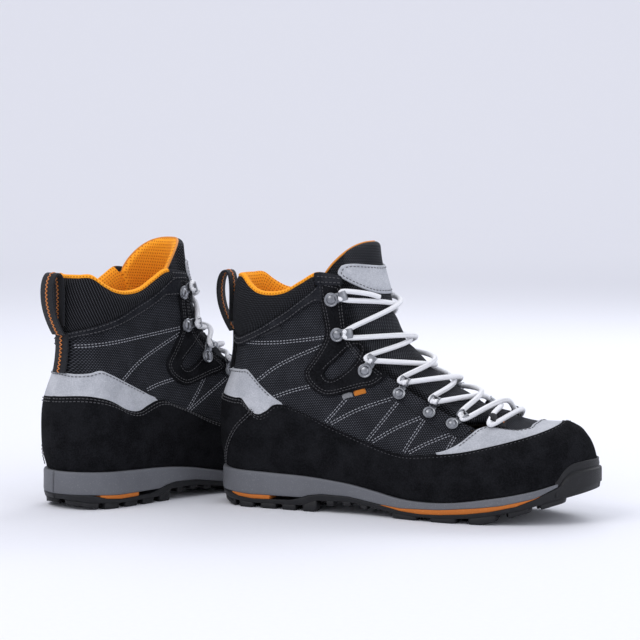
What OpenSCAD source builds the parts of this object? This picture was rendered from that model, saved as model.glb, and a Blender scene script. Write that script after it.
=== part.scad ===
// A pair of mid-height hiking boots, laced. Both boots are described in the right boot's own
// frame: X from heel to toe, Y towards the inside of the foot, Z up from the floor. The left
// boot is its mirror image, turned and set down beside it.

/* [Pair] */
// Turn of the left boot beside the right boot, in degrees
left_yaw = 67.8; // [66:0.2:75]
// How far the left heel lies behind the right heel
left_x = -104.3; // [-125:0.1:-103]
// How far the left heel lies to the outside of the right heel
left_y = -93.5; // [-100:0.1:-90]

/* [Upper] */
// Thickness of the suede pieces
suede_t = 1; // [0.8:0.1:1.2]
// Thickness of the woven mesh quarters and vamp
mesh_t = 1.1; // [0.8:0.1:1.3]
// Thickness of the heel counter and toe puff
stiffener_t = 0.9; // [0.6:0.1:1]
// Thickness of the lining
lining_t = 1.2; // [0.8:0.1:1.4]
// Clear gap between two layers of the upper
layer_gap = 0.8; // [0.6:0.05:0.85]
// How far the padded collar swells beyond the suede
collar_swell = 2.2; // [0.5:0.1:3]
// Thickness of the padded tongue
tongue_t = 7.4; // [5:0.2:9]

/* [Sole] */
// How far the midsole stands out past the upper at its top edge
sole_lip = 2.6; // [1.5:0.1:3.5]
// Width of a tread lug along the boot
lug_w = 10; // [7:0.5:12]
// Thickness of the lasting board
board_t = 1.8; // [1.2:0.1:2]
// Thickness of the footbed at its edge
footbed_t = 5; // [3:0.5:7]

/* [Lacing] */
// Diameter of the round lace
lace_d = 4; // [3:0.1:4]
// Diameter of the wire that the hooks and eyelets are bent from
wire_d = 1.8; // [1.4:0.1:2]
// Diameter of the heads of the six lower rivets
rivet_d = 9.6; // [8:0.2:10]
// Diameter of the heads of the six rivets under the hooks
hook_rivet_d = 10.8; // [9:0.2:11.4]
// Width of a hook's bent plate
hook_w = 7; // [4:0.2:8]

/* [Hidden] */
$fn = 32;

// Middle of the pair's box, which becomes the origin
middle = [84.48, 38.61];

// The layers of the upper, as depths below the outer face of the suede
mesh_out = -suede_t - layer_gap;
mesh_in = mesh_out - mesh_t;
stiff_out = mesh_in - layer_gap;
stiff_in = stiff_out - stiffener_t;
lining_out = stiff_in - layer_gap;
lining_in = lining_out - lining_t;
tongue_deep = lining_in - layer_gap - 0.8;

// Height of the upper's lower edge, from heel to toe
SOLE = [[0, 29.5], [50, 28], [88, 26.5], [114, 23.5], [136, 19.5], [158, 15.5], [180, 14.5],
    [205, 16], [225, 19], [245, 22.5], [262, 26.5], [277, 31.5], [300, 40]];
// Upper's rearmost and foremost point at each height above its lower edge
BACK = [[0, 0], [15, -4], [30, -5], [55, -3.5], [80, 2.5], [110, 6.5], [140, 7], [180, 9],
    [210, 10]];
FRONT = [[0, 295], [12, 293.5], [28, 287.5], [38, 280], [44, 271], [49.5, 253], [54, 241],
    [64, 224], [77, 203], [90, 186], [107, 166], [122, 153], [133, 146], [151, 139], [166, 135],
    [189, 129], [210, 126]];
// At each height: half widths at the heel, the waist (outer, inner) and the ball (outer,
// inner), length of the heel's and of the toe's rounding, and lean of the toe inwards
SECTIONS = [
    [0, [33, 37, 31, 51, 46, 34, 80, 8]],
    [15, [35.5, 39, 34, 52, 48, 36, 85, 8]],
    [30, [36, 38.5, 35, 50.5, 48, 36, 95, 7]],
    [45, [35, 37, 35, 47, 46, 35, 120, 6]],
    [60, [33, 35, 34, 40, 43, 35, 85, 6]],
    [80, [31, 32.5, 32.5, 32, 37, 36, 62, 6]],
    [105, [29.5, 30, 31, 25, 30, 38, 50, 5]],
    [130, [30, 30, 30, 25, 28, 40, 45, 3]],
    [160, [32, 32, 32, 25, 28, 42, 45, 1]],
    [190, [33, 33, 33, 25, 28, 44, 45, 0]],
];
// Throat edge at each height: 0 is the heel's centre line and 1 the toe's
THROAT = [[0, 0.775], [50, 0.775], [60, 0.759], [75, 0.738], [90, 0.706], [103, 0.684],
    [127, 0.664], [146, 0.678], [162, 0.689], [178, 0.7], [210, 0.7]];
// The inner side's throat edge lies this much further forward
throat_shift = 0.03;

// Seams of the upper, as height at each place from heel (0) to toe (1): [outer, inner]
RAND_TOP = [
    [[0, 60], [0.19, 57.5], [0.22, 57], [0.252, 45], [0.285, 47.5], [0.316, 53.5], [0.34, 54],
        [0.366, 50], [0.4, 43], [0.44, 38], [0.5, 33.5], [0.54, 33], [0.6, 35.3], [0.66, 36.5],
        [0.77, 39.3], [0.9, 42.5], [1, 45]],
    [[0, 60], [0.19, 59.5], [0.22, 57.5], [0.25, 53.5], [0.275, 48], [0.3, 46], [0.35, 51],
        [0.38, 54], [0.4, 54], [0.425, 48.5], [0.45, 44.5], [0.5, 39], [0.6, 36], [0.7, 37.5],
        [0.8, 40], [0.9, 43], [1, 45]]];
HEEL_TOP = [
    [[0, 86], [0.1, 86], [0.19, 87], [0.232, 86.5], [0.256, 80.5], [0.291, 68.5], [0.317, 60.5],
        [0.336, 56]],
    [[0, 86], [0.1, 84], [0.16, 85], [0.215, 87.5], [0.241, 84], [0.295, 75], [0.34, 66],
        [0.37, 59], [0.387, 56]]];
TOE_TOP = [
    [[0.6, 36.6], [0.62, 38], [0.68, 45], [0.73, 49.5], [0.78, 53], [0.8, 53], [0.815, 48],
        [0.84, 47], [0.92, 49.2], [1, 50.5]],
    [[0.6, 37.2], [0.65, 40], [0.71, 46], [0.76, 50], [0.81, 53], [0.83, 53], [0.845, 48.5],
        [0.87, 48], [0.94, 49.7], [1, 50.5]]];
VAMP_TOP = [
    [[0.775, 51.5], [0.85, 55], [0.93, 58], [1, 59]],
    [[0.805, 51.5], [0.87, 55], [0.94, 58], [1, 59]]];
KNIT_LINE = [
    [[0, 128], [0.1, 125], [0.17, 124], [0.26, 130], [0.33, 137], [0.39, 145], [0.45, 153],
        [0.5, 160], [0.56, 168], [0.6, 174], [0.62, 175.5], [0.72, 176]],
    [[0, 128], [0.05, 131], [0.1, 133], [0.18, 136], [0.25, 140], [0.33, 146], [0.4, 153],
        [0.48, 160], [0.56, 169], [0.6, 174], [0.62, 175.5], [0.74, 176]]];
BAND_LOW = [
    [[0, 119], [0.1, 115.5], [0.17, 115], [0.254, 121], [0.323, 128.5], [0.386, 136.2],
        [0.445, 144.2], [0.498, 152.4], [0.56, 160]],
    [[0, 119], [0.05, 123], [0.1, 125.5], [0.18, 128.5], [0.25, 132], [0.325, 137.5],
        [0.4, 144.3], [0.48, 152], [0.56, 161]]];
COLLAR_TOP = [[0, 179.5], [0.1, 179.5], [0.19, 179], [0.25, 173], [0.31, 168], [0.37, 166.5],
    [0.44, 168.5], [0.51, 175.5], [0.58, 182], [0.64, 181.5], [0.74, 178.5]];
STAY_LOW = [[0.69, 47.5], [0.74, 51.5], [0.775, 54.5], [0.81, 55]];
STAY_TOP = [
    [[0.6, 78], [0.644, 85], [0.682, 92], [0.72, 92.5]],
    [[0.6, 74], [0.644, 79.8], [0.682, 88.3], [0.72, 90.5]]];
// Side outline of the suede ankle patch and of its window, in X and Z
ANKLE = [[87, 182], [87, 170], [89, 158], [91, 148], [93, 135], [89, 127], [83, 118], [76, 109],
    [75, 104], [79, 96.5], [89, 89.5], [97, 88], [110, 91.5], [123, 95.5], [131, 96.5],
    [138, 101], [143, 107.5], [165, 107.5], [165, 182]];
WINDOW = [[91, 107], [93, 102.5], [98, 101], [105, 104.5], [114, 112], [118, 120], [119, 127],
    [112, 127], [105, 119]];
// The inner side's patch lies this much further forward and up
ankle_shift = [11, 1];

// Sole lines from heel to toe: midsole's underside, outsole's top, underside between the lugs
// and lug bottoms
MID_LOW = [[0, 12], [12, 11.7], [33, 10.6], [76, 10.9], [82, 12.9], [93, 14.5], [114, 14],
    [142, 9.9], [159, 8.5], [191, 9.9], [220, 12.7], [238, 15.1], [261, 20.4], [277, 29.5], [280, 31.5]];
OUT_TOP = [[0, 11.8], [12, 11.5], [22, 8.6], [35, 7.3], [66, 8], [76, 10.7], [82, 12.7], [93, 14.3],
    [114, 13.8], [142, 9.6], [159, 6.5], [175, 5.4], [191, 6], [211, 7.6], [229, 10.2],
    [248, 14.5], [261, 20.1], [277, 29.2], [282, 32.4], [300, 39.6]];
TREAD = [[0, 8], [12, 5.5], [35, 4], [76, 4.4], [88, 9], [114, 9.6], [135, 7], [150, 4.4],
    [170, 3], [195, 3.2], [215, 4.6], [235, 8], [250, 11.2], [262, 14.8], [275, 18.6], [290, 22.6],
    [300, 25.5]];
GROUND = [[0, 5], [8, 2.5], [20, 0], [86, 0], [94, 5.5], [114, 6.5], [135, 4.5], [148, 1], [160, 0],
    [222, 0], [235, 3.5], [249, 7.5], [260, 10.8], [270, 13.6], [285, 18], [300, 23]];

BUMPER_TOP = [[0.8, -2], [0.83, 2.5], [0.85, 8], [0.87, 10.4], [0.91, 10.2], [0.96, 9], [1, 8]];

// Columns of the upper's panels: 0 is the heel's centre line, 18 the throat edge and 24 the
// toe's centre line on the inner side, and 48 minus those on the outer side
EDGE = 18;
TOE = 24;
RING = 48;

function unit(q) = min(1, max(0, q));
function smooth(q) = let (u = unit(q)) u * u * (3 - 2 * u);
function round_end(q) = let (u = unit(q)) sqrt(1 - (1 - u) * (1 - u));
function lerp(a, b, s) = a + (b - a) * s;
function unit_vec(v) = v / norm(v);

// Smooth curve through a table of [place, value]
function span_of(tab, x, k = 0) =
    k >= len(tab) - 2 || x < tab[k + 1][0] ? k : span_of(tab, x, k + 1);
function rise(tab, k) = (tab[k + 1][1] - tab[k][1]) / (tab[k + 1][0] - tab[k][0]);
function slope_at(tab, k) =
    k == 0 ? rise(tab, 0)
    : k == len(tab) - 1 ? rise(tab, k - 1)
    : let (before = tab[k][0] - tab[k - 1][0], after = tab[k + 1][0] - tab[k][0])
        (rise(tab, k - 1) * after + rise(tab, k) * before) / (before + after);
function curve(tab, at) =
    let (x = min(max(at, tab[0][0]), tab[len(tab) - 1][0]), k = span_of(tab, x),
        w = tab[k + 1][0] - tab[k][0], s = (x - tab[k][0]) / w)
    (2 * s * s * s - 3 * s * s + 1) * tab[k][1]
    + (s * s * s - 2 * s * s + s) * w * slope_at(tab, k)
    + (3 * s * s - 2 * s * s * s) * tab[k + 1][1]
    + (s * s * s - s * s) * w * slope_at(tab, k + 1);

// Outer face of the upper. t runs round the boot: 0 heel, 0 to 1 inner side, 1 toe, 1 to 2
// outer side. h is the height above the upper's lower edge.
function last_point(t, h) =
    let (back = curve(BACK, h), front = curve(FRONT, h), sec = curve(SECTIONS, h),
        x = back + (front - back) * (1 - cos(180 * t)) / 2,
        inner = sin(180 * t) >= 0,
        waist = inner ? sec[2] : sec[1],
        ball = inner ? sec[4] : sec[3],
        half = sec[0] + (waist - sec[0]) * smooth((x - 35) / 75)
            + (ball - waist) * smooth((x - 110) / 95),
        wide = half * round_end((x - back) / sec[5]) * round_end((front - x) / sec[6]),
        lean = sec[7] * pow(unit((x - 90) / (front - 90)), 2),
        lift = 1 - smooth((h - 40) / 120))
    [x, lean + (inner ? wide : -wide), h + curve(SOLE, x) * lift];
function normal_at(t, h) =
    unit_vec(cross(last_point(t, h + 1) - last_point(t, h - 1),
        last_point(t + 0.005, h) - last_point(t - 0.005, h)));
function skin(t, h, depth = 0) = last_point(t, h) + depth * normal_at(t, h);

// Column k at height h, as a place round the boot
function is_inner(k) = (k + RING) % RING <= TOE;
function throat(h, inner) = curve(THROAT, h) + (inner ? throat_shift : 0);
function reach(k, h) =
    let (near = is_inner(k) ? (k + RING) % RING : RING - (k + RING) % RING,
        edge = throat(h, is_inner(k)))
    near <= EDGE ? near / EDGE * edge : edge + (near - EDGE) / (TOE - EDGE) * (1 - edge);
function place(k, h) = is_inner(k) ? reach(k, h) : 2 - reach(k, h);

// Height of a seam at column k. A seam is one number, one table, or [outer, inner] tables.
function seam_table(seam, k) = is_num(seam[0][0]) ? seam : seam[is_inner(k) ? 1 : 0];
function seam_h(seam, k) =
    is_num(seam) ? seam
    : let (tab = seam_table(seam, k), first = curve(tab, reach(k, 60)),
        second = curve(tab, reach(k, first)))
        curve(tab, reach(k, second));

// Solid between two grids of points, closed into a ring along the first index if ring is true
module between(inner, outer, ring = false) {
    n = len(inner);
    m = len(inner[0]);
    points = [for (grid = [inner, outer], line = grid, p = line) p];
    function id(layer, i, j) = (layer * n + i % n) * m + j;
    function quad(a, b, c, d) = [[a, b, c], [a, c, d]];
    last = ring ? n - 1 : n - 2;
    faces = [for (i = [0:last], j = [0:m - 2]) each concat(
            quad(id(1, i, j), id(1, i + 1, j), id(1, i + 1, j + 1), id(1, i, j + 1)),
            [[id(0, i, j), id(0, i + 1, j + 1), id(0, i + 1, j)],
            [id(0, i, j), id(0, i, j + 1), id(0, i + 1, j + 1)]])];
    edges = [for (i = [0:last]) each concat(
            quad(id(1, i + 1, 0), id(1, i, 0), id(0, i, 0), id(0, i + 1, 0)),
            quad(id(1, i, m - 1), id(1, i + 1, m - 1), id(0, i + 1, m - 1), id(0, i, m - 1)))];
    ends = ring ? [] : [for (j = [0:m - 2]) each concat(
            quad(id(1, 0, j), id(1, 0, j + 1), id(0, 0, j + 1), id(0, 0, j)),
            quad(id(1, n - 1, j + 1), id(1, n - 1, j), id(0, n - 1, j), id(0, n - 1, j + 1)))];
    polyhedron(points, concat(faces, edges, ends), convexity = 8);
}

function even(n) = [for (i = [0:n]) i / n];
function columns(from, to) =
    concat([from], [for (k = [floor(from) + 1:ceil(to) - 1]) k], [to]);

// Panel of the upper between two seams and two columns, between two depths. depths gives the
// outer face a depth of its own at each row.
module panel(low, high, from, to, rows, inner, outer, depths = [], cols = [], ring = false) {
    ks = cols == [] ? columns(from, to) : cols;
    function grid(depth, own) = [for (k = ks)
        let (a = seam_h(low, k), b = seam_h(high, k))
        [for (r = [0:len(rows) - 1]) let (h = lerp(a, b, rows[r]))
            skin(place(k, h), h, own == [] ? depth : own[r])]];
    between(grid(inner, []), grid(outer, depths), ring);
}

// Edge of the sole at column k, moved out by out, at the height of line there
function sole_edge(k, line, out, up) =
    let (p = last_point(place(k, 0), 0), n = normal_at(place(k, 0), 0),
        q = unit_vec([n.x, n.y]), x = p.x + out * q.x)
    [x, p.y + out * q.y, (line == SOLE ? curve(SOLE, x) : lookup(x, line)) + up];
function sole_grid(line, out, from, to, across, up = 0, dish = 0) =
    [for (k = columns(from, to)) [for (s = even(across))
        lerp(sole_edge(RING - k, line, out, up), sole_edge(k, line, out, up), s)
            - [0, 0, dish * 4 * s * (1 - s)]]];
// Slab of the sole between two lines, with its own overhang at the top and at the bottom
module slab(low_line, high_line, out_low, out_high, from, to, across = 2, up_low = 0,
    up_high = 0, dish = 0) {
    between(sole_grid(high_line, out_high, from, to, across, up_high, dish),
        sole_grid(low_line, out_low, from, to, across, up_low, dish / 2));
}

// ---- sole ----

// Heights above the upper's lower edge, and how far the footbed dips in its middle
board_up = 2.4;
footbed_dish = 2.4;
footbed_up = board_up + board_t + footbed_dish / 2 + 0.4;

// Tread lug: foot is its outline on the ground, root its outline in the outsole
module lug(x, y, length, width, skew = 0) {
    top = lookup(x, TREAD) + 1;
    foot = lookup(x, GROUND);
    hull() for (level = [[foot, 0], [top, 1.6]])
        translate([x, y, level[0]]) rotate(skew)
            linear_extrude(0.01) offset(delta = level[1] / 2) square([length, width], center = true);
}

function sole_half(x, inner) =
    let (k = [for (q = [0.5:0.5:23.5]) if (last_point(place(q, 0), 0).x <= x) q])
    last_point(place(inner ? k[len(k) - 1] : RING - k[len(k) - 1], 0), 0).y;

LUG_ROWS = [14, 31, 48, 65, 80, 102, 122, 150, 166, 182, 198, 214, 230, 246, 262];
arch = [95, 130];
module outsole() color([0.1, 0.1, 0.11]) {
    slab(TREAD, OUT_TOP, 1.4, sole_lip, 0.5, 23.5);
    panel(-9, BUMPER_TOP, 19.5, 28.5, even(2), 0.5, 2.4);
    for (x = LUG_ROWS) {
        inner = sole_half(x, true);
        outer = sole_half(x, false);
        wide = inner - outer;
        long = x > arch[0] && x < arch[1] ? lug_w * 0.6 : lug_w;
        lug(x, inner - 5.5, long, 11, -12);
        lug(x, outer + 5.5, long, 11, 12);
        if (x < arch[1]) lug(x + 4, (inner + outer) / 2, long * 0.8, wide * 0.28);
        if (x > arch[1]) for (side = [-1, 1])
            lug(x + 5, (inner + outer) / 2 + side * 0.14 * wide, long * 0.8, wide * 0.18, side * 18);
    }
}

module midsole() color([0.45, 0.46, 0.48])
    slab(MID_LOW, SOLE, sole_lip, sole_lip, 0.5, 19.3, up_high = -0.2);

module accent_layer() color([0.75, 0.28, 0.1]) {
    slab(OUT_TOP, MID_LOW, sole_lip, sole_lip, 4, 6, up_low = 0.3, up_high = -0.3);
    slab(OUT_TOP, MID_LOW, sole_lip, sole_lip, 12, 17, up_low = 0.3, up_high = -0.3);
}

module shank() color([0.6, 0.6, 0.62])
    between([for (x = [62:15:167]) [for (y = [-11, 11]) [x, y, curve(SOLE, x) + 1.5]]],
        [for (x = [62:15:167]) [for (y = [-11, 11]) [x, y, curve(SOLE, x) + 0.3]]]);

module lasting_board() color([0.85, 0.82, 0.75])
    slab(SOLE, SOLE, lining_in - 1, lining_in - 1, 1, 22.5, up_low = board_up,
        up_high = board_up + board_t);

module footbed() color([0.3, 0.3, 0.32])
    slab(SOLE, SOLE, lining_in - 2.4, lining_in - 2.2, 1.2, 21.5, 4, footbed_up,
        footbed_up + footbed_t, footbed_dish);

// ---- upper ----

MESH_ROWS = [0, 0.06, 0.13, 0.2, 0.26, 0.31, 0.36, 0.42, 0.49, 0.6, 0.73, 0.87, 1];
LINING_ROWS = [0, 0.08, 0.17, 0.29, 0.43, 0.61, 0.81, 1];
TOE_ROWS = [0, 0.25, 0.5, 0.66, 0.76, 0.84, 0.92, 1];
foot_line = 0.6;
function lowered(seam, by) =
    is_num(seam[0][0]) ? [for (p = seam) [p[0], p[1] - by]] : [for (s = seam) lowered(s, by)];

module quarter(from, to) color([0.12, 0.12, 0.13])
    panel(foot_line, lowered(KNIT_LINE, 0.7), from, to, MESH_ROWS, mesh_in, mesh_out);

module vamp() color([0.14, 0.14, 0.15])
    panel(foot_line, VAMP_TOP, EDGE + 0.3, RING - EDGE - 0.3, TOE_ROWS, mesh_in, mesh_out);

module lining() color([0.8, 0.33, 0.12]) {
    panel(3, lowered(COLLAR_TOP, 2), -EDGE, EDGE, LINING_ROWS, lining_in, lining_out);
    panel(3, lowered(VAMP_TOP, 2), EDGE + 0.2, RING - EDGE - 0.2, TOE_ROWS, lining_in,
        lining_out);
}

module heel_counter() color([0.9, 0.88, 0.8])
    panel(3, 62, -8, 8, even(3), stiff_in, stiff_out);

module toe_puff() color([0.9, 0.88, 0.8])
    panel(8, 43, 20, 28, even(4), stiff_in, stiff_out);

module rand() color([0.13, 0.13, 0.14])
    panel(foot_line, RAND_TOP, 0, RING, [0, 0.35, 0.62, 0.83, 1], -suede_t, 0,
        cols = [for (k = [0:RING - 1]) k], ring = true);

module heel_overlay() color([0.62, 0.62, 0.63])
    panel(lowered(RAND_TOP, -0.4), HEEL_TOP, -7.7, 8.4, even(3), -suede_t, 0);

module toe_overlay() color([0.62, 0.62, 0.63])
    panel(lowered(RAND_TOP, -0.4), TOE_TOP, 14, 34, even(2), -suede_t, 0);

module ankle_patch(inner) color([0.15, 0.15, 0.16])
    intersection() {
        from = inner ? 9 : RING - EDGE;
        panel(62, [[0.3, 175], [0.8, 175.2]], from, from + 9, even(10), -suede_t, 0);
        translate(inner ? [ankle_shift.x, 0, ankle_shift.y] : [0, 0, 0]) rotate([90, 0, 0])
            translate([0, 0, -70]) linear_extrude(140) difference() {
                polygon(ANKLE);
                polygon(WINDOW);
            }
    }

module eyestay(from, to) color([0.16, 0.16, 0.17])
    panel(STAY_LOW, STAY_TOP, from, to, even(4), -suede_t, 0);

module collar() color([0.11, 0.11, 0.12])
    panel(KNIT_LINE, COLLAR_TOP, -14.8, 15.6, [0, 0.25, 0.6, 0.88, 1], lining_out + layer_gap, 0,
        [-0.8, 0.7 * collar_swell, collar_swell, 0.5 * collar_swell, -1.4]);

module collar_binding() color([0.15, 0.15, 0.16])
    panel(BAND_LOW, lowered(KNIT_LINE, 0.4), -14.1, 13.7, even(1), -suede_t, 0.1);

// The tongue shows in the throat and runs under the throat's edges
TONGUE_REACH = [[60, 0.27], [100, 0.35], [140, 0.37], [165, 0.4], [210, 0.4]];
tongue_low = 62;
tongue_high = 206;
tongue_shoulder = 28;
tongue_face = -2.2;
function tongue_top(t, h) =
    let (opening = 1 - throat(h, t < 1) - abs(t - 1))
    lerp(tongue_deep, tongue_face, smooth((opening - 0.015) / 0.05));
function tongue_point(u, v, thick) =
    let (centre_h = lerp(tongue_low, tongue_high, v),
        h = centre_h - tongue_shoulder * pow(v, 6) * pow(abs(u), 3),
        t = 1 + u * curve(TONGUE_REACH, centre_h),
        face = tongue_top(t, h))
    skin(t, h, thick == 0 ? face : tongue_deep - thick);
function tongue_grid(thick) =
    [for (u = even(14)) [for (v = even(10)) tongue_point(2 * u - 1, v, thick)]];
tongue_back = max(2, tongue_t - tongue_face + tongue_deep);

module tongue() color([0.12, 0.12, 0.13])
    between(tongue_grid(tongue_back), tongue_grid(0));

module tongue_lining() color([0.8, 0.33, 0.12])
    between(tongue_grid(tongue_back + layer_gap + 1), tongue_grid(tongue_back + layer_gap));

PATCH_ROWS = [167, 172, 177.2, 183, 189];
PATCH_COLUMNS = [-3.4, -2.8, -2, -1.2, -0.4, 0.4, 1.2, 2, 2.8, 3.4];
function patch_grid(up) = [for (c = PATCH_COLUMNS) let (t = 1 + c / 14)
    [for (h = PATCH_ROWS) skin(t, h, tongue_top(t, h) + up)]];
module tongue_patch() color([0.5, 0.5, 0.52])
    between(patch_grid(1.3), patch_grid(2.4));

// Backstay up the heel's centre line, and the ribbon loop above it
LOOP = [[3.2, 134], [0, 139], [-4, 147], [-7.2, 157], [-8, 167], [-6.8, 175], [-3.6, 180.6],
    [0.2, 181], [2.4, 177], [3.2, 169], [3.3, 160], [3, 150], [2.8, 141]];
loop_w = 15;
loop_t = 1.4;
function loop_grid(side) = [for (i = [0:len(LOOP) - 1])
    let (a = LOOP[max(i - 1, 0)], b = LOOP[min(i + 1, len(LOOP) - 1)],
        along = unit_vec(b - a), p = LOOP[i] + side * loop_t / 2 * [-along.y, along.x])
    [for (s = [-0.5, 0.5]) [p.x, s * loop_w, p.y]]];
module pull_tab() color([0.14, 0.14, 0.15]) {
    panel(66, 126, -1, 1, even(5), 0.5, 1.8);
    between(loop_grid(1), loop_grid(-1));
}

// ---- lacing ----

// [column and height of the rivet, column and height of the lace], top to bottom
FITTINGS_OUTER = [[16.6, 162, 18, 165], [16.8, 132, 18.1, 134], [16.3, 97, 17.7, 105],
    [16.7, 80, 18.3, 89], [16.9, 66, 18.4, 74], [17.2, 57, 18.7, 62]];
FITTINGS_INNER = [[16.6, 163, 18, 167], [16.8, 134, 18.1, 136], [16.4, 101, 17.7, 109],
    [16.7, 86, 18.3, 95], [16.9, 71, 18.4, 79], [17.2, 60, 18.7, 65]];
function fitting(i, inner) = inner ? FITTINGS_INNER[i] : FITTINGS_OUTER[i];
function fit_k(k, inner) = inner ? k : RING - k;

// Frame of a fitting: origin on the suede at the rivet, X towards the lace, Z out of the boot
function fitting_frame(i, inner) =
    let (f = fitting(i, inner), k = fit_k(f[0], inner), l = fit_k(f[2], inner),
        p = skin(place(k, f[1]), f[1]), q = skin(place(l, f[3]), f[3]),
        z = unit_vec(normal_at(place(k, f[1]), f[1]) + normal_at(place(l, f[3]), f[3])),
        x = unit_vec(q - p - z * ((q - p) * z)), y = cross(z, x))
    [[x.x, y.x, z.x, p.x], [x.y, y.y, z.y, p.y], [x.z, y.z, z.z, p.z], [0, 0, 0, 1]];
arm = 9.5;
ring_r = lace_d / 2 + wire_d / 2 + 0.35;
base_up = 0.8;
plate_t = 0.9;
lace_up = base_up + plate_t + ring_r - wire_d / 2 + 0.1;
function on_fitting(i, inner, v) =
    let (m = fitting_frame(i, inner)) [for (r = [0:2]) [m[r].x, m[r].y, m[r].z] * v + m[r][3]];

module plate(head, wide) difference() {
    union() {
        translate([0, 0, base_up]) cylinder(r = head / 2 - 0.2, h = plate_t);
        translate([0, -wide / 2, base_up]) cube([arm - 1, wide, plate_t]);
    }
    cylinder(r = 1.7, h = 6, center = true);
}

module hooks() color([0.62, 0.62, 0.63])
    for (inner = [true, false], i = [0:2]) multmatrix(fitting_frame(i, inner)) {
        plate(hook_rivet_d, hook_w);
        translate([arm - 1, 0, lace_up]) rotate([90, 0, 0]) translate([0, 0, -hook_w / 2])
            rotate(-90) rotate_extrude(angle = 215)
                translate([ring_r - wire_d / 4, 0]) square([wire_d / 2 + 0.2, hook_w]);
    }

module eyelets() color([0.62, 0.62, 0.63])
    for (inner = [true, false], i = [3:5]) multmatrix(fitting_frame(i, inner)) {
        plate(rivet_d, 4.4);
        translate([arm - 0.5, 0, lace_up]) rotate([90, 0, 0]) rotate_extrude()
            translate([ring_r, 0]) circle(d = wire_d);
    }

module rivets() color([0.72, 0.72, 0.73])
    for (inner = [true, false], i = [0:5]) multmatrix(fitting_frame(i, inner)) {
        translate([0, 0, -1]) cylinder(r = 1.5, h = base_up + plate_t + 1.2);
        translate([0, 0, base_up + plate_t + 0.1]) rotate_extrude()
            let (r = (i < 3 ? hook_rivet_d : rivet_d) / 2)
                polygon([[0, 0], [r, 0], [r - 0.3, 0.7], [r - 1.5, 1.2], [1.4, 1.9], [0, 2]]);
    }

// Webbing loops at the bottom of the throat
TOE_LOOPS = [[19.6, 55], [28.4, 55]];
function toe_frame(i) =
    let (k = TOE_LOOPS[i][0], h = TOE_LOOPS[i][1], t = place(k, h), p = skin(t, h),
        z = normal_at(t, h), side = i == 0 ? 1 : -1,
        y = unit_vec(cross(z, [0.25, side, 0])), x = cross(y, z))
    [[x.x, y.x, z.x, p.x], [x.y, y.y, z.y, p.y], [x.z, y.z, z.z, p.z], [0, 0, 0, 1]];
function on_toe(i, v) =
    let (m = toe_frame(i)) [for (r = [0:2]) [m[r].x, m[r].y, m[r].z] * v + m[r][3]];
toe_lace_up = lace_d / 2 + 1.05;
module toe_loops() color([0.15, 0.15, 0.15])
    for (i = [0, 1]) multmatrix(toe_frame(i)) translate([0, 0, toe_lace_up]) rotate([0, 90, 0])
        translate([0, 0, -4]) rotate_extrude()
            translate([lace_d / 2 + 0.3, 0]) square([1, 8]);

// Smooth route through points
function route(points, per) = [for (i = [0:len(points) - 2], s = [0:per - 1])
    let (a = points[max(i - 1, 0)], b = points[i], c = points[i + 1],
        d = points[min(i + 2, len(points) - 1)], u = s / per)
    0.5 * (2 * b + (c - a) * u + (2 * a - 5 * b + 4 * c - d) * u * u
        + (3 * b - a - 3 * c + d) * u * u * u)];
// A direction across the route at each point, carried along it without twist
function carried(points, i = 0, before = [0.3, 0.2, 1]) =
    i >= len(points) ? []
    : let (along = heading(points, i), s = unit_vec(before - along * (before * along)))
        concat([s], carried(points, i + 1, s));
function heading(points, i) =
    unit_vec(points[min(i + 1, len(points) - 1)] - points[max(i - 1, 0)]);
module tube(points, d, sides = 8) {
    n = len(points);
    across = carried(points);
    dots = [for (i = [0:n - 1], a = [0:sides - 1])
        let (s = across[i], b = cross(heading(points, i), s), turn = 360 * a / sides)
        points[i] + d / 2 * (cos(turn) * s + sin(turn) * b)];
    walls = [for (i = [0:n - 2], a = [0:sides - 1])
        let (b = (a + 1) % sides, p = i * sides, q = p + sides)
        each [[p + a, q + b, p + b], [p + a, q + a, q + b]]];
    polyhedron(dots, concat(walls, [[for (a = [0:sides - 1]) a]],
        [[for (a = [sides - 1:-1:0]) (n - 1) * sides + a]]));
}

// The lace: from behind the tongue down one zigzag to the toe, across, and up the other one.
// Each stop is [fitting, inner side], and low crossings pass under high ones.
DOWN = [[0, false], [1, true], [2, false], [3, true], [4, false], [5, true]];
UP = [[5, false], [4, true], [3, false], [2, true], [1, false], [0, true]];
bite = 3.4;
cross_low = 0;
cross_high = 4.3;
function stop_points(i, inner, down) =
    let (s = (inner ? 1 : -1) * (down ? -1 : 1))
    [on_fitting(i, inner, [arm + 1.5, s * bite, lace_up]),
        on_fitting(i, inner, [arm - 1.4, 0, lace_up]),
        on_fitting(i, inner, [arm + 1.5, -s * bite, lace_up])];
function crossing(h, depth) = skin(1, h, depth);
function mean_h(a, b) = (fitting(a, true)[3] + fitting(b, false)[3]) / 2;
lace_points = concat(
    [skin(1.13, 163.5, 0.6), skin(1.2, 166.5, 1)],
    [for (s = [0:5]) each concat(stop_points(DOWN[s][0], DOWN[s][1], true),
        s < 5 ? [crossing(mean_h(s, s + 1) + 7, cross_low)] : [crossing(66, 0.8)])],
    [on_toe(1, [-6, 0, toe_lace_up]), on_toe(1, [6, 0, toe_lace_up]),
        crossing(57, toe_lace_up + 1.2),
        on_toe(0, [6, 0, toe_lace_up]), on_toe(0, [-6, 0, toe_lace_up]), crossing(66, 5)],
    [for (s = [0:5]) each concat(stop_points(UP[s][0], UP[s][1], false),
        s < 5 ? [crossing(mean_h(5 - s, 4 - s) + 7, cross_high)] : [])],
    [skin(0.8, 167, 1), skin(0.87, 163.5, 0.6)]);
module lace() color([0.93, 0.93, 0.93]) tube(route(lace_points, 1), lace_d);

// ---- placing ----

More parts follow.
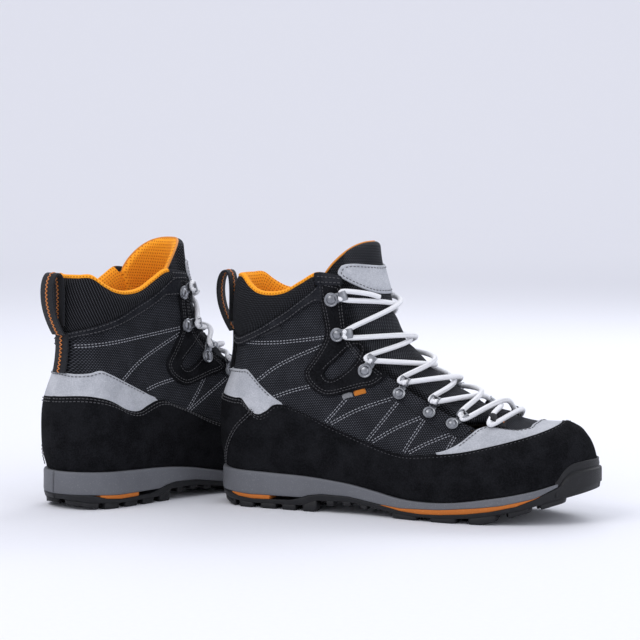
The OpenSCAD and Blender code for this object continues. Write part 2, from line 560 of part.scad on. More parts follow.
module right_boot() translate([-middle.x, -middle.y, 0]) children();
module left_boot() translate([left_x - middle.x, left_y - middle.y, 0]) rotate(left_yaw)
    mirror([0, 1, 0]) children();

right_boot() outsole();  // right_outsole
right_boot() midsole();  // right_midsole
right_boot() accent_layer();  // right_accent_layer
right_boot() shank();  // right_shank
right_boot() lasting_board();  // right_lasting_board
right_boot() footbed();  // right_footbed
right_boot() lining();  // right_lining
right_boot() quarter(RING - EDGE, RING - 0.15);  // right_quarter_lateral
right_boot() quarter(0.15, EDGE);  // right_quarter_medial
right_boot() vamp();  // right_vamp
right_boot() rand();  // right_rand
right_boot() heel_overlay();  // right_heel_overlay
right_boot() toe_overlay();  // right_toe_overlay
right_boot() ankle_patch(false);  // right_ankle_patch_lateral
right_boot() ankle_patch(true);  // right_ankle_patch_medial
right_boot() eyestay(RING - EDGE, RING - 16.1);  // right_eyestay_lateral
right_boot() eyestay(16.1, EDGE);  // right_eyestay_medial
right_boot() collar();  // right_collar
right_boot() collar_binding();  // right_collar_binding
right_boot() tongue();  // right_tongue
right_boot() tongue_patch();  // right_tongue_patch
right_boot() tongue_lining();  // right_tongue_lining
right_boot() pull_tab();  // right_pull_tab
right_boot() hooks();  // right_hooks
right_boot() eyelets();  // right_eyelets
right_boot() rivets();  // right_rivets
right_boot() toe_loops();  // right_toe_loops
right_boot() lace();  // right_lace
right_boot() heel_counter();  // right_heel_counter
right_boot() toe_puff();  // right_toe_puff
left_boot() outsole();  // left_outsole
left_boot() midsole();  // left_midsole
left_boot() accent_layer();  // left_accent_layer
left_boot() shank();  // left_shank
left_boot() lasting_board();  // left_lasting_board
left_boot() footbed();  // left_footbed
left_boot() lining();  // left_lining
left_boot() quarter(RING - EDGE, RING - 0.15);  // left_quarter_lateral
left_boot() quarter(0.15, EDGE);  // left_quarter_medial
left_boot() vamp();  // left_vamp
left_boot() rand();  // left_rand
left_boot() heel_overlay();  // left_heel_overlay
left_boot() toe_overlay();  // left_toe_overlay
left_boot() ankle_patch(false);  // left_ankle_patch_lateral
left_boot() ankle_patch(true);  // left_ankle_patch_medial
left_boot() eyestay(RING - EDGE, RING - 16.1);  // left_eyestay_lateral
left_boot() eyestay(16.1, EDGE);  // left_eyestay_medial
left_boot() collar();  // left_collar
left_boot() collar_binding();  // left_collar_binding
left_boot() tongue();  // left_tongue
left_boot() tongue_patch();  // left_tongue_patch
left_boot() tongue_lining();  // left_tongue_lining
left_boot() pull_tab();  // left_pull_tab
left_boot() hooks();  // left_hooks
left_boot() eyelets();  // left_eyelets
left_boot() rivets();  // left_rivets
left_boot() toe_loops();  // left_toe_loops
left_boot() lace();  // left_lace
left_boot() heel_counter();  // left_heel_counter
left_boot() toe_puff();  // left_toe_puff
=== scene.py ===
import math

import bmesh
import bpy
import numpy as np
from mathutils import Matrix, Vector
from mathutils.geometry import delaunay_2d_cdt


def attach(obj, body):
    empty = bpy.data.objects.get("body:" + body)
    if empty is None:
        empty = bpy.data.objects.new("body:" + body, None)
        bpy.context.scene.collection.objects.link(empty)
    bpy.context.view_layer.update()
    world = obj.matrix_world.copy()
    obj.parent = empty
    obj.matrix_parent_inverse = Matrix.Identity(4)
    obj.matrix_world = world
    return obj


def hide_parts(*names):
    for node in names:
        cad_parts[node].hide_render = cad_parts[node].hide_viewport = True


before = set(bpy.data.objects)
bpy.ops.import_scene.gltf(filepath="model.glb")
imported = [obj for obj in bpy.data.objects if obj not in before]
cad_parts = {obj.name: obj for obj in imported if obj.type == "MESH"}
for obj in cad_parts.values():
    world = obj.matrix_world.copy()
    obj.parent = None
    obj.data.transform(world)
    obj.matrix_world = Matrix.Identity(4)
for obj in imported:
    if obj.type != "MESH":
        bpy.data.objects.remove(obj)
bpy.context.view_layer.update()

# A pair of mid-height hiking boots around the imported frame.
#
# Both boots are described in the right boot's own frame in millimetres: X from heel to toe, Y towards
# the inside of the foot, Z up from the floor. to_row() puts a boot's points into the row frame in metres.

MM = 0.001

# ---- camera, stage and light ----

CAMERA_AT = (0.63246, -1.63176, 0.26972)
CAMERA_TILT = 85.806
CAMERA_TURN = 21.906
LENS = 125.27

camera = bpy.data.objects.new("camera", bpy.data.cameras.new("camera"))
camera.location = CAMERA_AT
camera.rotation_euler = (math.radians(CAMERA_TILT), 0, math.radians(CAMERA_TURN))
camera.data.lens = LENS
bpy.context.scene.collection.objects.link(camera)
bpy.context.scene.camera = camera
bpy.context.scene.view_settings.view_transform = "Standard"


def area_light(name, at, towards, size, power, colour):
    light = bpy.data.lights.new(name, "AREA")
    light.shape = "RECTANGLE"
    light.size, light.size_y = size
    light.energy = power
    light.color = colour
    thing = bpy.data.objects.new(name, light)
    thing.location = at
    thing.rotation_euler = (Vector(towards) - Vector(at)).to_track_quat("-Z", "Y").to_euler()
    bpy.context.scene.collection.objects.link(thing)


AIM = (0, 0, 0.08)
area_light("key_light", (-0.9, -1.5, 1.9), AIM, (1.5, 1.2), 19, (1.0, 0.98, 0.96))
area_light("fill_light", (1.9, -0.9, 1.0), AIM, (1.2, 1.4), 6, (0.93, 0.96, 1.0))
area_light("rim_light", (0.3, 1.5, 1.5), AIM, (1.8, 0.8), 16, (0.95, 0.97, 1.0))

world = bpy.data.worlds.new("world")
world.use_nodes = True
sky = world.node_tree.nodes["Background"].inputs
sky["Color"].default_value = (0.79, 0.80, 0.87, 1)
sky["Strength"].default_value = 0.98
bpy.context.scene.world = world

# ---- tables of the boot, the same as in part.scad ----

MIDDLE = (84.48, 38.61)
LEFT_TURN = math.radians(67.8)
LEFT_AT = (-104.3, -93.5)

SUEDE = (-1.0, 0.0)
MESH = (-2.9, -1.8)
LINING = (-6.6, -5.4)
TONGUE_DEEP = -8.2
TONGUE_FACE = -2.2
LACE_D = 4
WIRE_D = 1.8
EDGE = 18
TOE = 24
RING = 48

SOLE = [[0, 29.5], [50, 28], [88, 26.5], [114, 23.5], [136, 19.5], [158, 15.5], [180, 14.5],
    [205, 16], [225, 19], [245, 22.5], [262, 26.5], [277, 31.5], [300, 40]]
BACK = [[0, 0], [15, -4], [30, -5], [55, -3.5], [80, 2.5], [110, 6.5], [140, 7], [180, 9], [210, 10]]
FRONT = [[0, 295], [12, 293.5], [28, 287.5], [38, 280], [44, 271], [49.5, 253], [54, 241],
    [64, 224], [77, 203], [90, 186], [107, 166], [122, 153], [133, 146], [151, 139], [166, 135],
    [189, 129], [210, 126]]
# Half widths at the heel, the waist (outer, inner) and the ball (outer, inner), length of the
# heel's and of the toe's rounding, and lean of the toe inwards, at each height
SECTIONS = [
    [0, [33, 37, 31, 51, 46, 34, 80, 8]],
    [15, [35.5, 39, 34, 52, 48, 36, 85, 8]],
    [30, [36, 38.5, 35, 50.5, 48, 36, 95, 7]],
    [45, [35, 37, 35, 47, 46, 35, 120, 6]],
    [60, [33, 35, 34, 40, 43, 35, 85, 6]],
    [80, [31, 32.5, 32.5, 32, 37, 36, 62, 6]],
    [105, [29.5, 30, 31, 25, 30, 38, 50, 5]],
    [130, [30, 30, 30, 25, 28, 40, 45, 3]],
    [160, [32, 32, 32, 25, 28, 42, 45, 1]],
    [190, [33, 33, 33, 25, 28, 44, 45, 0]],
]
THROAT = [[0, 0.775], [50, 0.775], [60, 0.759], [75, 0.738], [90, 0.706], [103, 0.684],
    [127, 0.664], [146, 0.678], [162, 0.689], [178, 0.7], [210, 0.7]]
THROAT_SHIFT = 0.03

# Seams as height at each place from heel (0) to toe (1): [outer, inner], or one table for both
RAND_TOP = [
    [[0, 60], [0.19, 57.5], [0.22, 57], [0.252, 45], [0.285, 47.5], [0.316, 53.5], [0.34, 54],
        [0.366, 50], [0.4, 43], [0.44, 38], [0.5, 33.5], [0.54, 33], [0.6, 35.3], [0.66, 36.5],
        [0.77, 39.3], [0.9, 42.5], [1, 45]],
    [[0, 60], [0.19, 59.5], [0.22, 57.5], [0.25, 53.5], [0.275, 48], [0.3, 46], [0.35, 51],
        [0.38, 54], [0.4, 54], [0.425, 48.5], [0.45, 44.5], [0.5, 39], [0.6, 36], [0.7, 37.5],
        [0.8, 40], [0.9, 43], [1, 45]]]
HEEL_TOP = [
    [[0, 86], [0.1, 86], [0.19, 87], [0.232, 86.5], [0.256, 80.5], [0.291, 68.5], [0.317, 60.5],
        [0.336, 56]],
    [[0, 86], [0.1, 84], [0.16, 85], [0.215, 87.5], [0.241, 84], [0.295, 75], [0.34, 66],
        [0.37, 59], [0.387, 56]]]
TOE_TOP = [
    [[0.6, 36.6], [0.62, 38], [0.68, 45], [0.73, 49.5], [0.78, 53], [0.8, 53], [0.815, 48],
        [0.84, 47], [0.92, 49.2], [1, 50.5]],
    [[0.6, 37.2], [0.65, 40], [0.71, 46], [0.76, 50], [0.81, 53], [0.83, 53], [0.845, 48.5],
        [0.87, 48], [0.94, 49.7], [1, 50.5]]]
VAMP_TOP = [
    [[0.775, 51.5], [0.85, 55], [0.93, 58], [1, 59]],
    [[0.805, 51.5], [0.87, 55], [0.94, 58], [1, 59]]]
KNIT_LINE = [
    [[0, 128], [0.1, 125], [0.17, 124], [0.26, 130], [0.33, 137], [0.39, 145], [0.45, 153],
        [0.5, 160], [0.56, 168], [0.6, 174], [0.62, 175.5], [0.72, 176]],
    [[0, 128], [0.05, 131], [0.1, 133], [0.18, 136], [0.25, 140], [0.33, 146], [0.4, 153],
        [0.48, 160], [0.56, 169], [0.6, 174], [0.62, 175.5], [0.74, 176]]]
BAND_LOW = [
    [[0, 119], [0.1, 115.5], [0.17, 115], [0.254, 121], [0.323, 128.5], [0.386, 136.2],
        [0.445, 144.2], [0.498, 152.4], [0.56, 160]],
    [[0, 119], [0.05, 123], [0.1, 125.5], [0.18, 128.5], [0.25, 132], [0.325, 137.5],
        [0.4, 144.3], [0.48, 152], [0.56, 161]]]
COLLAR_TOP = [[0, 179.5], [0.1, 179.5], [0.19, 179], [0.25, 173], [0.31, 168], [0.37, 166.5],
    [0.44, 168.5], [0.51, 175.5], [0.58, 182], [0.64, 181.5], [0.74, 178.5]]
STAY_LOW = [[0.69, 47.5], [0.74, 51.5], [0.775, 54.5], [0.81, 55]]
STAY_TOP = [
    [[0.6, 78], [0.644, 85], [0.682, 92], [0.72, 92.5]],
    [[0.6, 74], [0.644, 79.8], [0.682, 88.3], [0.72, 90.5]]]
ANKLE = [[87, 178], [87, 170], [89, 158], [91, 148], [93, 135], [89, 127], [83, 118], [76, 109],
    [75, 104], [79, 96.5], [89, 89.5], [97, 88], [110, 91.5], [123, 95.5], [131, 96.5],
    [138, 101], [143, 107.5]]
WINDOW = [[91, 107], [93, 102.5], [98, 101], [105, 104.5], [114, 112], [119, 119], [121, 127],
    [113, 127], [105, 119]]
ANKLE_SHIFT = (11, 1)

MID_LOW = [[0, 12], [12, 11.7], [33, 10.6], [76, 10.9], [82, 12.9], [93, 14.5], [114, 14],
    [142, 9.9], [159, 8.5], [191, 9.9], [220, 12.7], [238, 15.1], [261, 20.4], [277, 29.5],
    [280, 31.5]]
OUT_TOP = [[0, 11.8], [12, 11.5], [22, 8.6], [35, 7.3], [66, 8], [76, 10.7], [82, 12.7], [93, 14.3],
    [114, 13.8], [142, 9.6], [159, 6.5], [175, 5.4], [191, 6], [211, 7.6], [229, 10.2],
    [248, 14.5], [261, 20.1], [277, 29.2], [282, 32.4], [300, 39.6]]
TREAD = [[0, 8], [12, 5.5], [35, 4], [76, 4.4], [88, 9], [114, 9.6], [135, 7], [150, 4.4],
    [170, 3], [195, 3.2], [215, 4.6], [235, 8], [250, 11.2], [262, 14.8], [275, 18.6], [290, 22.6],
    [300, 25.5]]
GROUND = [[0, 5], [8, 2.5], [20, 0], [86, 0], [94, 5.5], [114, 6.5], [135, 4.5], [148, 1], [160, 0],
    [222, 0], [235, 3.5], [249, 7.5], [260, 10.8], [270, 13.6], [285, 18], [300, 23]]

# ---- surface of the upper ----


def cubic(s, start, end, leave, arrive):
    """Smooth way from start to end as s goes from 0 to 1, with the tangents at the two."""
    return ((2 * s**3 - 3 * s**2 + 1) * start + (s**3 - 2 * s**2 + s) * leave
        + (3 * s**2 - 2 * s**3) * end + (s**3 - s**2) * arrive)


def curve(table, at):
    """Smooth curve through a table of [place, value]. A value may be a list."""
    keys = np.array([row[0] for row in table], float)
    values = np.array([np.atleast_1d(row[1]) for row in table], float)
    gaps = np.diff(keys)[:, None]
    rises = np.diff(values, axis=0) / gaps
    between = (rises[:-1] * gaps[1:] + rises[1:] * gaps[:-1]) / (gaps[:-1] + gaps[1:])
    slopes = np.concatenate([rises[:1], between, rises[-1:]])
    x = np.clip(np.asarray(at, float), keys[0], keys[-1])
    k = np.clip(np.searchsorted(keys, x, side="right") - 1, 0, len(keys) - 2)
    w = gaps[k]
    s = (x - keys[k])[..., None] / w
    found = cubic(s, values[k], values[k + 1], w * slopes[k], w * slopes[k + 1])
    return found[..., 0] if values.shape[1] == 1 else found


def straight(table, at):
    """The value of a table of [place, value] at a place, with straight lines between."""
    return np.interp(at, [row[0] for row in table], [row[1] for row in table])


def smooth(q):
    u = np.clip(q, 0, 1)
    return u * u * (3 - 2 * u)


def round_end(q):
    u = np.clip(q, 0, 1)
    return np.sqrt(1 - (1 - u) ** 2)


def lift(h):
    """How much of the sole line's rise the upper still follows at height h."""
    return 1 - smooth((h - 40) / 120)


def unit(v):
    return v / np.maximum(np.linalg.norm(v, axis=-1, keepdims=True), 1e-9)


def last_point(t, h):
    """Outer face of the upper. t: 0 heel, 0 to 1 inner side, 1 toe, 1 to 2 outer side."""
    t, h = np.broadcast_arrays(np.asarray(t, float), np.asarray(h, float))
    back, front, sec = curve(BACK, h), curve(FRONT, h), curve(SECTIONS, h)
    x = back + (front - back) * (1 - np.cos(np.pi * t)) / 2
    inner = np.sin(np.pi * t) >= 0
    waist = np.where(inner, sec[..., 2], sec[..., 1])
    ball = np.where(inner, sec[..., 4], sec[..., 3])
    half = (sec[..., 0] + (waist - sec[..., 0]) * smooth((x - 35) / 75)
        + (ball - waist) * smooth((x - 110) / 95))
    wide = half * round_end((x - back) / sec[..., 5]) * round_end((front - x) / sec[..., 6])
    lean = sec[..., 7] * np.clip((x - 90) / (front - 90), 0, 1) ** 2
    return np.stack([x, lean + np.where(inner, wide, -wide), h + curve(SOLE, x) * lift(h)], -1)


def normal_at(t, h):
    t, h = np.broadcast_arrays(np.asarray(t, float), np.asarray(h, float))
    return unit(np.cross(last_point(t, h + 1) - last_point(t, h - 1),
        last_point(t + 0.005, h) - last_point(t - 0.005, h)))


def ripple(p):
    """Slight unevenness of the lasted upper, in millimetres."""
    x, y, z = p[..., 0], p[..., 1], p[..., 2]
    return 0.16 * np.sin(x / 14 + z / 23) + 0.12 * np.sin(z / 9 - x / 31 + y / 12)


def skin(t, h, depth=0.0):
    p = last_point(t, h)
    return p + (np.asarray(depth) + ripple(p))[..., None] * normal_at(t, h)


def place(k, h):
    """Column k as a place round the boot: 0 heel, 18 throat edge, 24 toe, 48 minus that outside."""
    k, h = np.broadcast_arrays(np.mod(np.asarray(k, float), RING), np.asarray(h, float))
    inner = k <= TOE
    near = np.where(inner, k, RING - k)
    edge = curve(THROAT, h) + np.where(inner, THROAT_SHIFT, 0)
    reach = np.where(near <= EDGE, near / EDGE * edge,
        edge + (near - EDGE) / (TOE - EDGE) * (1 - edge))
    return np.where(inner, reach, 2 - reach)


def seam_h(seam, k):
    """Height of a seam at column k. A seam is one number, one table, or [outer, inner] tables."""
    k = np.asarray(k, float)
    if np.isscalar(seam):
        return np.full(k.shape, float(seam))
    inner = np.mod(k, RING) <= TOE
    tables = [seam, seam] if np.isscalar(seam[0][0]) else seam
    h = np.full(k.shape, 60.0)
    for _ in range(3):
        t = place(k, h)
        reach = np.where(t > 1, 2 - t, t)
        h = np.where(inner, curve(tables[1], reach), curve(tables[0], reach))
    return h


def lowered(seam, by):
    if np.isscalar(seam[0][0]):
        return [[a, b - by] for a, b in seam]
    return [lowered(table, by) for table in seam]


def locate(x, z, inner):
    """Place and height of the point of the upper's side at X and Z."""
    x, z = np.asarray(x, float), np.asarray(z, float)
    h = z - 10
    for _ in range(25):
        h = z - curve(SOLE, x) * lift(h)
    back, front = curve(BACK, h), curve(FRONT, h)
    a = np.arccos(np.clip(1 - 2 * (x - back) / (front - back), -1, 1)) / np.pi
    return (a if inner else 2 - a), h


# ---- placing and mesh making ----


def to_row(points, side):
    p = np.array(points, float)
    if side == "left":
        x, y = p[..., 0].copy(), -p[..., 1]
        c, s = math.cos(LEFT_TURN), math.sin(LEFT_TURN)
        p[..., 0] = c * x - s * y + LEFT_AT[0]
        p[..., 1] = s * x + c * y + LEFT_AT[1]
    p[..., 0] -= MIDDLE[0]
    p[..., 1] -= MIDDLE[1]
    return p * MM


def piece(name, points, faces, side, material, replaced=(), body="boot", slot=None, uv=None):
    """One piece of a boot: a closed mesh that rides on a body and stands for CAD nodes."""
    mesh = bpy.data.meshes.new(f"{side}_{name}")
    mesh.from_pydata(to_row(points, side).reshape(-1, 3).tolist(), [], [list(f) for f in faces])
    form = bmesh.new()
    form.from_mesh(mesh)
    bmesh.ops.recalc_face_normals(form, faces=form.faces)
    form.to_mesh(mesh)
    form.free()
    mesh.shade_smooth()
    if uv is not None:
        layer = mesh.uv_layers.new(name="mm")
        corners = np.zeros(len(mesh.loops), np.int32)
        mesh.loops.foreach_get("vertex_index", corners)
        layer.data.foreach_set("uv", np.asarray(uv, np.float32).reshape(-1, 2)[corners].ravel())
    mesh.materials.append(material)
    thing = bpy.data.objects.new(f"{side}_{name}", mesh)
    bpy.context.scene.collection.objects.link(thing)
    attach(thing, f"{side}_{body}")
    if replaced:
        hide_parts(*[f"{side}_{node}" for node in replaced])
    return thing


def grid_faces(n, m, ring_i=False, ring_j=False, first=0):
    """Quads over a grid of n by m points, closed along either index if asked."""
    i = np.arange(n if ring_i else n - 1)[:, None]
    j = np.arange(m if ring_j else m - 1)[None, :]
    a, b = i * m + j, (i + 1) % n * m + j
    c, d = (i + 1) % n * m + (j + 1) % m, i * m + (j + 1) % m
    return (np.stack([a, b, c, d], -1).reshape(-1, 4) + first).tolist()


def shell_faces(n, m, ring=False):
    """Faces of a closed shell: an outer grid, an inner grid after it, and the walls between."""
    faces = grid_faces(n, m, ring) + [f[::-1] for f in grid_faces(n, m, ring, first=n * m)]
    low = [i * m for i in range(n)]
    high = [i * m + m - 1 for i in range(n)]
    rims = [(low, ring), (high, ring)]
    if not ring:
        rims += [(list(range(m)), False), (list(range((n - 1) * m, n * m)), False)]
    for rim, closed in rims:
        pairs = list(zip(rim, rim[1:])) + ([(rim[-1], rim[0])] if closed else [])
        faces += [[a, b, b + n * m, a + n * m] for a, b in pairs]
    return faces


def make_shell(name, outer, inner, uv, side, material, ring=False, **more):
    """Closed shell between an outer and an inner grid of points."""
    both = np.concatenate([outer.reshape(-1, 3), inner.reshape(-1, 3)])
    faces = shell_faces(*outer.shape[:2], ring)
    return piece(name, both, faces, side, material, uv=np.concatenate([uv, uv]), **more)


def loft_faces(n, m, ring=False):
    """Faces of a solid lofted through n closed loops of m points."""
    faces = grid_faces(n, m, ring, True)
    return faces if ring else faces + [list(range(m)), list(range((n - 1) * m, n * m))]


class Bundle:
    """Several closed forms gathered into one piece."""

    def __init__(self):
        self.points, self.faces, self.uv, self.count = [], [], [], 0

    def add(self, points, faces, uv=None):
        points = np.asarray(points, float).reshape(-1, 3)
        self.points.append(points)
        self.uv.append(np.zeros((len(points), 2)) if uv is None else np.asarray(uv).reshape(-1, 2))
        self.faces += [[v + self.count for v in face] for face in faces]
        self.count += len(points)

    def make(self, name, side, material, **more):
        return piece(name, np.concatenate(self.points), self.faces, side, material,
            uv=np.concatenate(self.uv), **more)


def run_of(points):
    """Length along a line of points, from its start to each point."""
    steps = np.linalg.norm(np.diff(points, axis=-2), axis=-1)
    start = np.zeros(steps.shape[:-1] + (1,))
    return np.concatenate([start, np.cumsum(steps, axis=-1)], axis=-1)


def read_off(values, run, at):
    """Rows of values along a line, read off at other distances along it."""
    return np.stack([np.interp(at, run, column) for column in values.T], -1)


def resample(points, step, extra=None):
    """Points a step apart along a line, and extra values carried along with them."""
    run = run_of(points)
    at = np.linspace(0, run[-1], max(2, int(run[-1] / step) + 1))
    found = read_off(points, run, at)
    return found if extra is None else (found, read_off(extra, run, at))


def closed_line(loop, step):
    """Points about a step apart round a closed line."""
    return resample(np.concatenate([loop, loop[:1]]), step)[:-1]


def pairs(first, second):
    """Two grids of values as one grid of pairs."""
    return np.stack(np.broadcast_arrays(first, second), -1)


# Distances from an edge at which a sewn panel has its rows
EDGE_STEPS = np.array([0, 0.12, 0.35, 0.7, 1.1, 1.6, 2.1, 2.7, 3.5])
RIM = 0.8
STITCH_IN = 2.2


def spread(length, step, count=None):
    """Distances along a length, close together near both ends."""
    near = EDGE_STEPS * min(1, length / (2.4 * EDGE_STEPS[-1]))
    count = max(1, int(length / step)) if count is None else count
    middle = np.linspace(near[-1], length - near[-1], count + 2)[1:-1]
    return np.concatenate([near, middle, length - near[::-1]])


def rim_drop(away, thick, radius=RIM):
    """Rounding of a cut edge, away from the edge by a distance."""
    return -thick * (1 - round_end(away / radius))


def stitch_dip(away, at=STITCH_IN, deep=0.24, wide=0.6):
    return -deep * np.exp(-(((away - at) / wide) ** 2))


def panel(name, low, high, start, end, depths, side, material, step=2.0, sewn=(True, True, True, True),
        shape=None, ring=False, level=False, **more):
    """Panel of the upper between two seams and two columns. Cloth that is level has its rows so.
    sewn says which of its lower, upper, first and last edges show as cut and sewn. shape adds to
    the outer face's depth."""
    tight = np.linspace(start, end, 240)
    mid_h = (seam_h(low, tight) + seam_h(high, tight)) / 2
    run = run_of(skin(place(tight, mid_h), mid_h))
    total = run[-1]
    if ring:
        at = np.linspace(0, total, int(total / step), endpoint=False)
    else:
        at = spread(total, step) if sewn[2] or sewn[3] else np.linspace(0, total, int(total / step) + 1)
    k = np.interp(at, run, tight)
    a, b = seam_h(low, k), seam_h(high, k)
    fine = a[:, None] + (b - a)[:, None] * np.linspace(0, 1, 25)
    up = run_of(skin(place(k[:, None], fine), fine))
    long = up[:, -1]
    rows = max(1, int(long.max() / step))
    away = np.stack([spread(v, step, rows) for v in long])
    h = np.stack([np.interp(away[i], up[i], fine[i]) for i in range(len(k))])
    gaps = [away, long[:, None] - away, at[:, None] + 0 * away, total - at[:, None] + 0 * away]
    shown = [gap for gap, edge in zip(gaps, sewn) if edge and not (ring and gap is gaps[2])]
    nearest = np.min(np.stack(shown), axis=0) if shown else np.full(away.shape, 99.0)
    thick = depths[1] - depths[0]
    drop = rim_drop(nearest, thick * 0.9) + (stitch_dip(nearest) if shown else 0)
    if shape is not None:
        drop = drop + shape(place(k[:, None], h), h, away, long[:, None])
    t = place(k[:, None], h)
    outer, inner = skin(t, h, depths[1] + drop), skin(t, h, depths[0] + 0 * h)
    uv = outer[..., [0, 2]] if level else pairs(at[:, None], away + a[:, None])
    return make_shell(name, outer, inner, uv, side, material, ring, **more)


# ---- stitching ----


class Thread:
    """Stitches of one colour on one boot, gathered into one piece."""

    def __init__(self):
        self.bundle = Bundle()

    def sew(self, points, normals, pitch=3.1, dash=2.2, radius=0.36, proud=0.12, lead=0.4):
        """Stitches along a line of surface points."""
        points, normals = resample(points, 0.5, normals)
        run = run_of(points)
        starts = np.arange(lead, run[-1] - dash, pitch)
        if not len(starts):
            return
        at = starts[:, None] + dash * np.array([0, 0.14, 0.5, 0.86, 1])
        line, up = read_off(points, run, at), unit(read_off(normals, run, at))
        along = unit(line[:, -1:] - line[:, :1]) + 0 * line
        across = unit(np.cross(along, up))
        size = radius * np.array([0.45, 0.95, 1.05, 0.95, 0.45])[None, :, None, None]
        rise = np.array([-0.25, proud, proud + 0.12, proud, -0.25])[None, :, None, None]
        turn = np.arange(6) * math.pi / 3
        ring = (np.cos(turn)[:, None] * across[:, :, None] + np.sin(turn)[:, None] * up[:, :, None])
        dots = line[:, :, None] + size * ring + rise * up[:, :, None]
        for dash_points in dots:
            self.bundle.add(dash_points, loft_faces(5, 6))

    def seam(self, seam, start, end, offset, depth=0.0, **more):
        """Stitches along a seam, offset millimetres above it."""
        k = np.linspace(start, end, 160)
        h = seam_h(seam, k)
        rate = np.linalg.norm(last_point(place(k, h), h + 0.5) - last_point(place(k, h), h - 0.5), axis=-1)
        h = h + offset / rate
        t = place(k, h)
        self.sew(skin(t, h, depth + 0 * h), normal_at(t, h), **more)

    def line(self, outline, inner, depth, **more):
        """Stitches along a line given by X and Z on one side of the boot."""
        t, h = locate(outline[:, 0], outline[:, 1], inner)
        self.sew(skin(t, h, depth + 0 * h), normal_at(t, h), **more)

    def make(self, name, side, material, slot):
        if self.bundle.count:
            self.bundle.make(name, side, material, slot=slot)


def smooth_line(points, closed=False, rounds=3):
    """Corner cutting, which turns a few points into a smooth line."""
    line = np.array(points, float)
    for _ in range(rounds):
        after = np.roll(line, -1, axis=0) if closed else line[1:]
        before = line if closed else line[:-1]
        cut = np.stack([before * 0.75 + after * 0.25, before * 0.25 + after * 0.75], 1).reshape(-1, 2)
        line = cut if closed else np.concatenate([line[:1], cut, line[-1:]])
    return line


def shifted(line, by):
    """A flat line moved sideways."""
    along = unit(np.gradient(line, axis=0))
    return line + by * np.stack([-along[:, 1], along[:, 0]], -1)


# ---- pieces cut from a flat outline ----


def away_from(points, outline):
    """Distance of flat points from a closed outline."""
    a, b = outline, np.roll(outline, -1, axis=0)
    d = b - a
    rel = points[:, None] - a
    s = np.clip((rel * d).sum(-1) / np.maximum((d * d).sum(-1), 1e-9), 0, 1)
    return np.linalg.norm(rel - s[..., None] * d, axis=-1).min(1)


def is_within(points, outline):
    a, b = outline, np.roll(outline, -1, axis=0)
    x, y = points[:, :1], points[:, 1:]
    crosses = (a[:, 1] > y) != (b[:, 1] > y)
    rise = np.where(b[:, 1] == a[:, 1], 1e-9, b[:, 1] - a[:, 1])
    return (crosses & (x < (b[:, 0] - a[:, 0]) * (y - a[:, 1]) / rise + a[:, 0])).sum(1) % 2 == 1


def inset(outline, by, keep=0.93):
    """Points at a distance inside a closed outline, without those that corners crowd out."""
    along = unit(np.roll(outline, -1, axis=0) - np.roll(outline, 1, axis=0))
    normal = np.stack([-along[:, 1], along[:, 0]], -1)
    if is_within(outline + 0.02 * normal, outline).mean() <= 0.5:
        normal = -normal
    moved = outline + by * normal
    return moved[away_from(moved, outline) > keep * abs(by)]


def cut_piece(name, outline, holes, raise_to, depths, side, material, step=3.0, shape=None, **more):
    """Piece cut from a flat outline with holes. raise_to puts flat points on the boot at a depth."""
    loops = [closed_line(loop, 1.6) for loop in [outline] + holes]
    dots, edges = [], []
    for loop in loops:
        first = sum(len(d) for d in dots)
        dots.append(loop)
        edges += [(first + i, first + (i + 1) % len(loop)) for i in range(len(loop))]
    inside = []
    for n, loop in enumerate(loops):
        inside += [inset(loop, by if n == 0 else -by) for by in EDGE_STEPS[1:]]
    low, high = loops[0].min(0), loops[0].max(0)
    grid = np.stack(np.meshgrid(np.arange(low[0], high[0], step), np.arange(low[1], high[1], step)), -1)
    inside.append(grid.reshape(-1, 2))
    inside = np.concatenate(inside)
    keep = is_within(inside, loops[0]) & (away_from(inside, loops[0]) > 0.05)
    for hole in loops[1:]:
        keep &= ~is_within(inside, hole) & (away_from(inside, hole) > 0.05)
    flat = np.concatenate(dots + [inside[keep]])
    found = delaunay_2d_cdt([Vector(p) for p in flat], edges, [], 0, 1e-5)
    flat = np.array([tuple(p) for p in found[0]])
    triangles = np.array(found[2])
    middle = flat[triangles].mean(1)
    kept = is_within(middle, loops[0])
    for hole in loops[1:]:
        kept &= ~is_within(middle, hole)
    triangles = triangles[kept]
    nearest = np.min([away_from(flat, loop) for loop in loops], axis=0)
    drop = rim_drop(nearest, (depths[1] - depths[0]) * 0.9) + stitch_dip(nearest)
    if shape is not None:
        drop = drop + shape(flat, nearest)
    outer = raise_to(flat, depths[1] + drop)
    inner = raise_to(flat, depths[0] + 0 * drop)
    n = len(flat)
    faces = triangles.tolist() + [[c + n, b + n, a + n] for a, b, c in triangles.tolist()]
    used = dict.fromkeys(edge for a, b, c in triangles.tolist() for edge in ((a, b), (b, c), (c, a)))
    faces += [[q, p, p + n, q + n] for p, q in used if (q, p) not in used]
    return piece(name, np.concatenate([outer, inner]), faces, side, material,
        uv=np.concatenate([flat, flat]), **more)


# ---- sweeps and turned forms ----


def carried_frames(path, start=(0.3, 0.2, 1)):
    """Two directions across a path at each point, carried along it without twist."""
    along = unit(np.gradient(path, axis=0))
    side, sides = np.array(start, float), []
    for a in along:
        side = unit(side - a * (side @ a))
        sides.append(side)
    sides = np.array(sides)
    return sides, np.cross(along, sides)


def sweep(path, sides, ups, section):
    """Closed loops of a flat section swept along a path. section is (m, 2), or (n, m, 2)."""
    section = np.broadcast_to(section, (len(path),) + np.shape(section)[-2:])
    return (path[:, None] + section[..., :1] * sides[:, None] + section[..., 1:] * ups[:, None])


